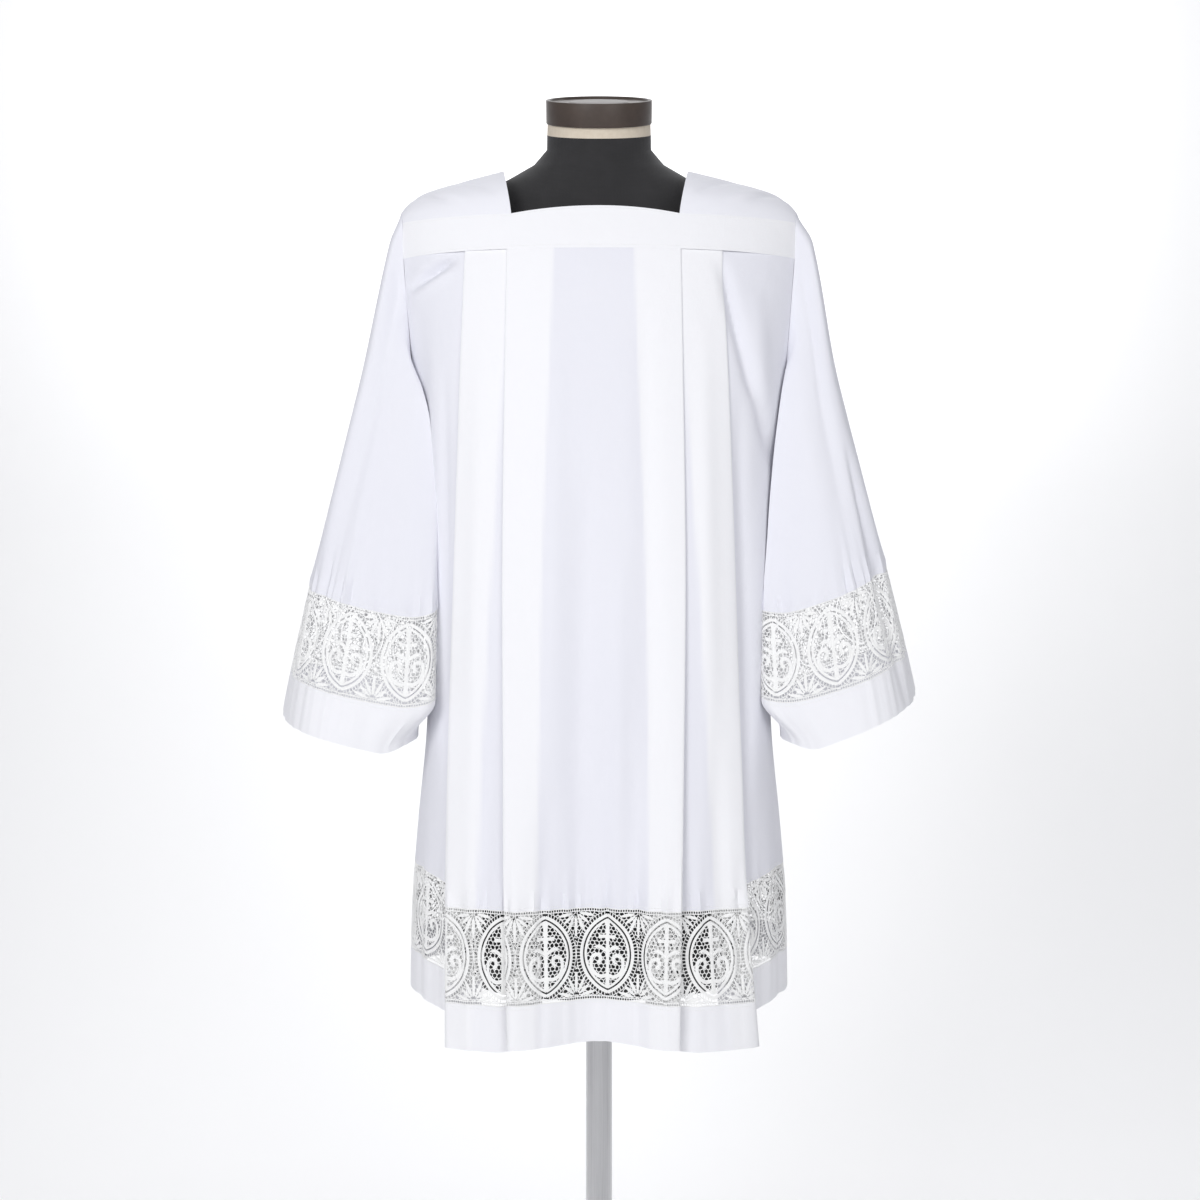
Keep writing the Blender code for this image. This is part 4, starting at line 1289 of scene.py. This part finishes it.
def form_part(name, low, high, count, finish_used, replaced):
    """Draws a shell up through the form's sections by extruding and scaling a disc."""
    bpy.ops.object.select_all(action="DESELECT")
    bpy.ops.mesh.primitive_circle_add(
        vertices=FORM_SIDES, radius=1, fill_type="NGON", location=(0, 0, 0)
    )
    made = bpy.context.object
    made.name = name
    bpy.ops.object.mode_set(mode="EDIT")
    bpy.ops.mesh.select_all(action="SELECT")
    width = depth = 1.0
    place = Vector((0, 0, 0))
    tilt = 0.0
    for step, height in enumerate(np.linspace(low, high, count)):
        value = {key: float(smooth(FORM, FORM_COLUMNS, key, height)) for key in FORM_COLUMNS[1:]}
        if step:
            bpy.ops.mesh.extrude_region_move()
        target = Vector((0, value["mid_y"], height))
        bpy.ops.transform.translate(value=target - place)
        place = target
        tip(tilt, place)
        growth = (value["half_width"] / width, value["half_depth"] / depth, 1)
        bpy.ops.transform.resize(value=growth, center_override=place)
        width, depth = value["half_width"], value["half_depth"]
        tilt = value["tilt"]
        tip(-tilt, place)
    bpy.ops.mesh.select_all(action="SELECT")
    bpy.ops.mesh.normals_make_consistent(inside=False)
    bpy.ops.object.mode_set(mode="OBJECT")
    bpy.ops.object.shade_smooth_by_angle(angle=math.radians(50))
    made.data.materials.append(finish_used)
    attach(made, "root")
    stands_for(replaced)


def neck_cap(finish_used):
    """A low turned cap, its top sunk inside a rim, tipped forward with the neck."""
    top = row_named(FORM_COLUMNS, FORM[-1])
    bpy.ops.object.select_all(action="DESELECT")
    bpy.ops.mesh.primitive_cylinder_add(
        vertices=FORM_SIDES, radius=CAP_RADIUS, depth=CAP_HEIGHT, location=(0, 0, CAP_HEIGHT / 2)
    )
    made = bpy.context.object
    made.name = "neck_cap_turned"
    bpy.ops.object.transform_apply(location=True)
    bpy.ops.object.mode_set(mode="EDIT")
    bpy.ops.mesh.select_mode(type="FACE")
    bpy.ops.mesh.select_all(action="DESELECT")
    mesh = bmesh.from_edit_mesh(made.data)
    for face in mesh.faces:
        face.select = face.normal.z > 0.9
    bmesh.update_edit_mesh(made.data)
    for thickness, depth in CAP_INSETS:
        bpy.ops.mesh.inset(thickness=thickness, depth=depth)
    bpy.ops.object.mode_set(mode="OBJECT")
    bevel = made.modifiers.new("soft_edges", "BEVEL")
    bevel.width, bevel.segments, bevel.limit_method = 0.0009, 3, "ANGLE"
    bpy.ops.object.modifier_apply(modifier=bevel.name)
    made.data.transform(
        Matrix.Translation((0, top["mid_y"], top["height"]))
        @ Matrix.Rotation(math.radians(top["tilt"]), 4, "X")
    )
    bpy.ops.object.shade_smooth_by_angle(angle=math.radians(40))
    made.data.materials.append(finish_used)
    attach(made, "root")
    stands_for("form_neck_cap")


def dress_form(jersey, linen, cap, steel, enamel):
    form_part("form_cover_jersey", FORM[0][0], COVER_TOP, 60, jersey, "form_body")
    form_part("form_neck_linen", COVER_TOP, FORM[-1][0], 7, linen, "form_neck")
    neck_cap(cap)
    for name, used in (("form_pole", steel), ("form_base", enamel)):
        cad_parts[name].material_slots[0].material = used


# ---------------------------------------------------------------- studio


FLOOR_SIZE = (14, 9)
FLOOR_MIDDLE = -2.4
WALL_HEIGHT = 6
SWEEP_RADIUS = 1.2
SKY_STRENGTH = 0.38
VIEW_FROM = (0.0011, -2.0, 0.95)
VIEW_LENS = 52.63
LOOK_AT = (0, 0, 0.95)
LIGHTS = (  # name, place, target, size, power
    ("key_light", (-1.4, -2.8, 2.0), LOOK_AT, 1.2, 44),
    ("fill_light", (1.5, -2.9, 1.7), LOOK_AT, 1.8, 24),
    ("wall_light", (0, 0.8, 2.7), (0, 2.2, 1.5), 1.0, 38),
)


def studio():
    """A paper sweep, a soft sky, three soft lights and the camera."""
    bpy.ops.object.select_all(action="DESELECT")
    bpy.ops.mesh.primitive_plane_add(size=1, location=(0, 0, 0))
    floor = bpy.context.object
    floor.name = "studio_floor"
    bpy.ops.object.mode_set(mode="EDIT")
    bpy.ops.transform.resize(value=(*FLOOR_SIZE, 1))
    bpy.ops.transform.translate(value=(0, FLOOR_MIDDLE, 0))
    bpy.ops.mesh.select_mode(type="EDGE")
    bpy.ops.mesh.select_all(action="DESELECT")
    mesh = bmesh.from_edit_mesh(floor.data)
    for edge in mesh.edges:
        edge.select = all(corner.co.y > 0 for corner in edge.verts)
    bmesh.update_edit_mesh(floor.data)
    bpy.ops.mesh.extrude_region_move(TRANSFORM_OT_translate={"value": (0, 0, WALL_HEIGHT)})
    bpy.ops.object.mode_set(mode="OBJECT")
    bend = floor.modifiers.new("sweep", "BEVEL")
    bend.width, bend.segments, bend.limit_method = SWEEP_RADIUS, 24, "ANGLE"
    bpy.ops.object.modifier_apply(modifier=bend.name)
    bpy.ops.object.shade_smooth()
    floor.data.materials.append(Finish("backdrop_paper", (0.90, 0.90, 0.90), 0.95).material)

    world = bpy.data.worlds.new("soft_sky")
    world.use_nodes = True
    sky = world.node_tree.nodes["Background"].inputs
    sky["Color"].default_value = (0.93, 0.94, 1.0, 1)
    sky["Strength"].default_value = SKY_STRENGTH
    bpy.context.scene.world = world

    for name, place, target, size, power in LIGHTS:
        data = bpy.data.lights.new(name, "AREA")
        data.size, data.energy = size, power
        lamp = bpy.data.objects.new(name, data)
        lamp.location = place
        aim = Vector(target) - Vector(place)
        lamp.rotation_euler = aim.to_track_quat("-Z", "Y").to_euler()
        bpy.context.scene.collection.objects.link(lamp)

    lens = bpy.data.cameras.new("view")
    lens.sensor_width, lens.lens = 36.0, VIEW_LENS
    camera = bpy.data.objects.new("view", lens)
    camera.location = VIEW_FROM
    camera.rotation_euler = (math.radians(90), 0, 0)
    bpy.context.scene.collection.objects.link(camera)
    bpy.context.scene.camera = camera
    bpy.context.scene.view_settings.view_transform = "Standard"


cotton = cotton_finish()
lace_white = lace_finish()
body_pieces(cotton, lace_white, lace_white)
sleeve_pieces(cotton, lace_white, lace_white)
yoke_pieces(cotton, lace_white)
dress_form(jersey_finish(), linen_finish(), cap_finish(), steel_finish(), enamel_finish())
studio()
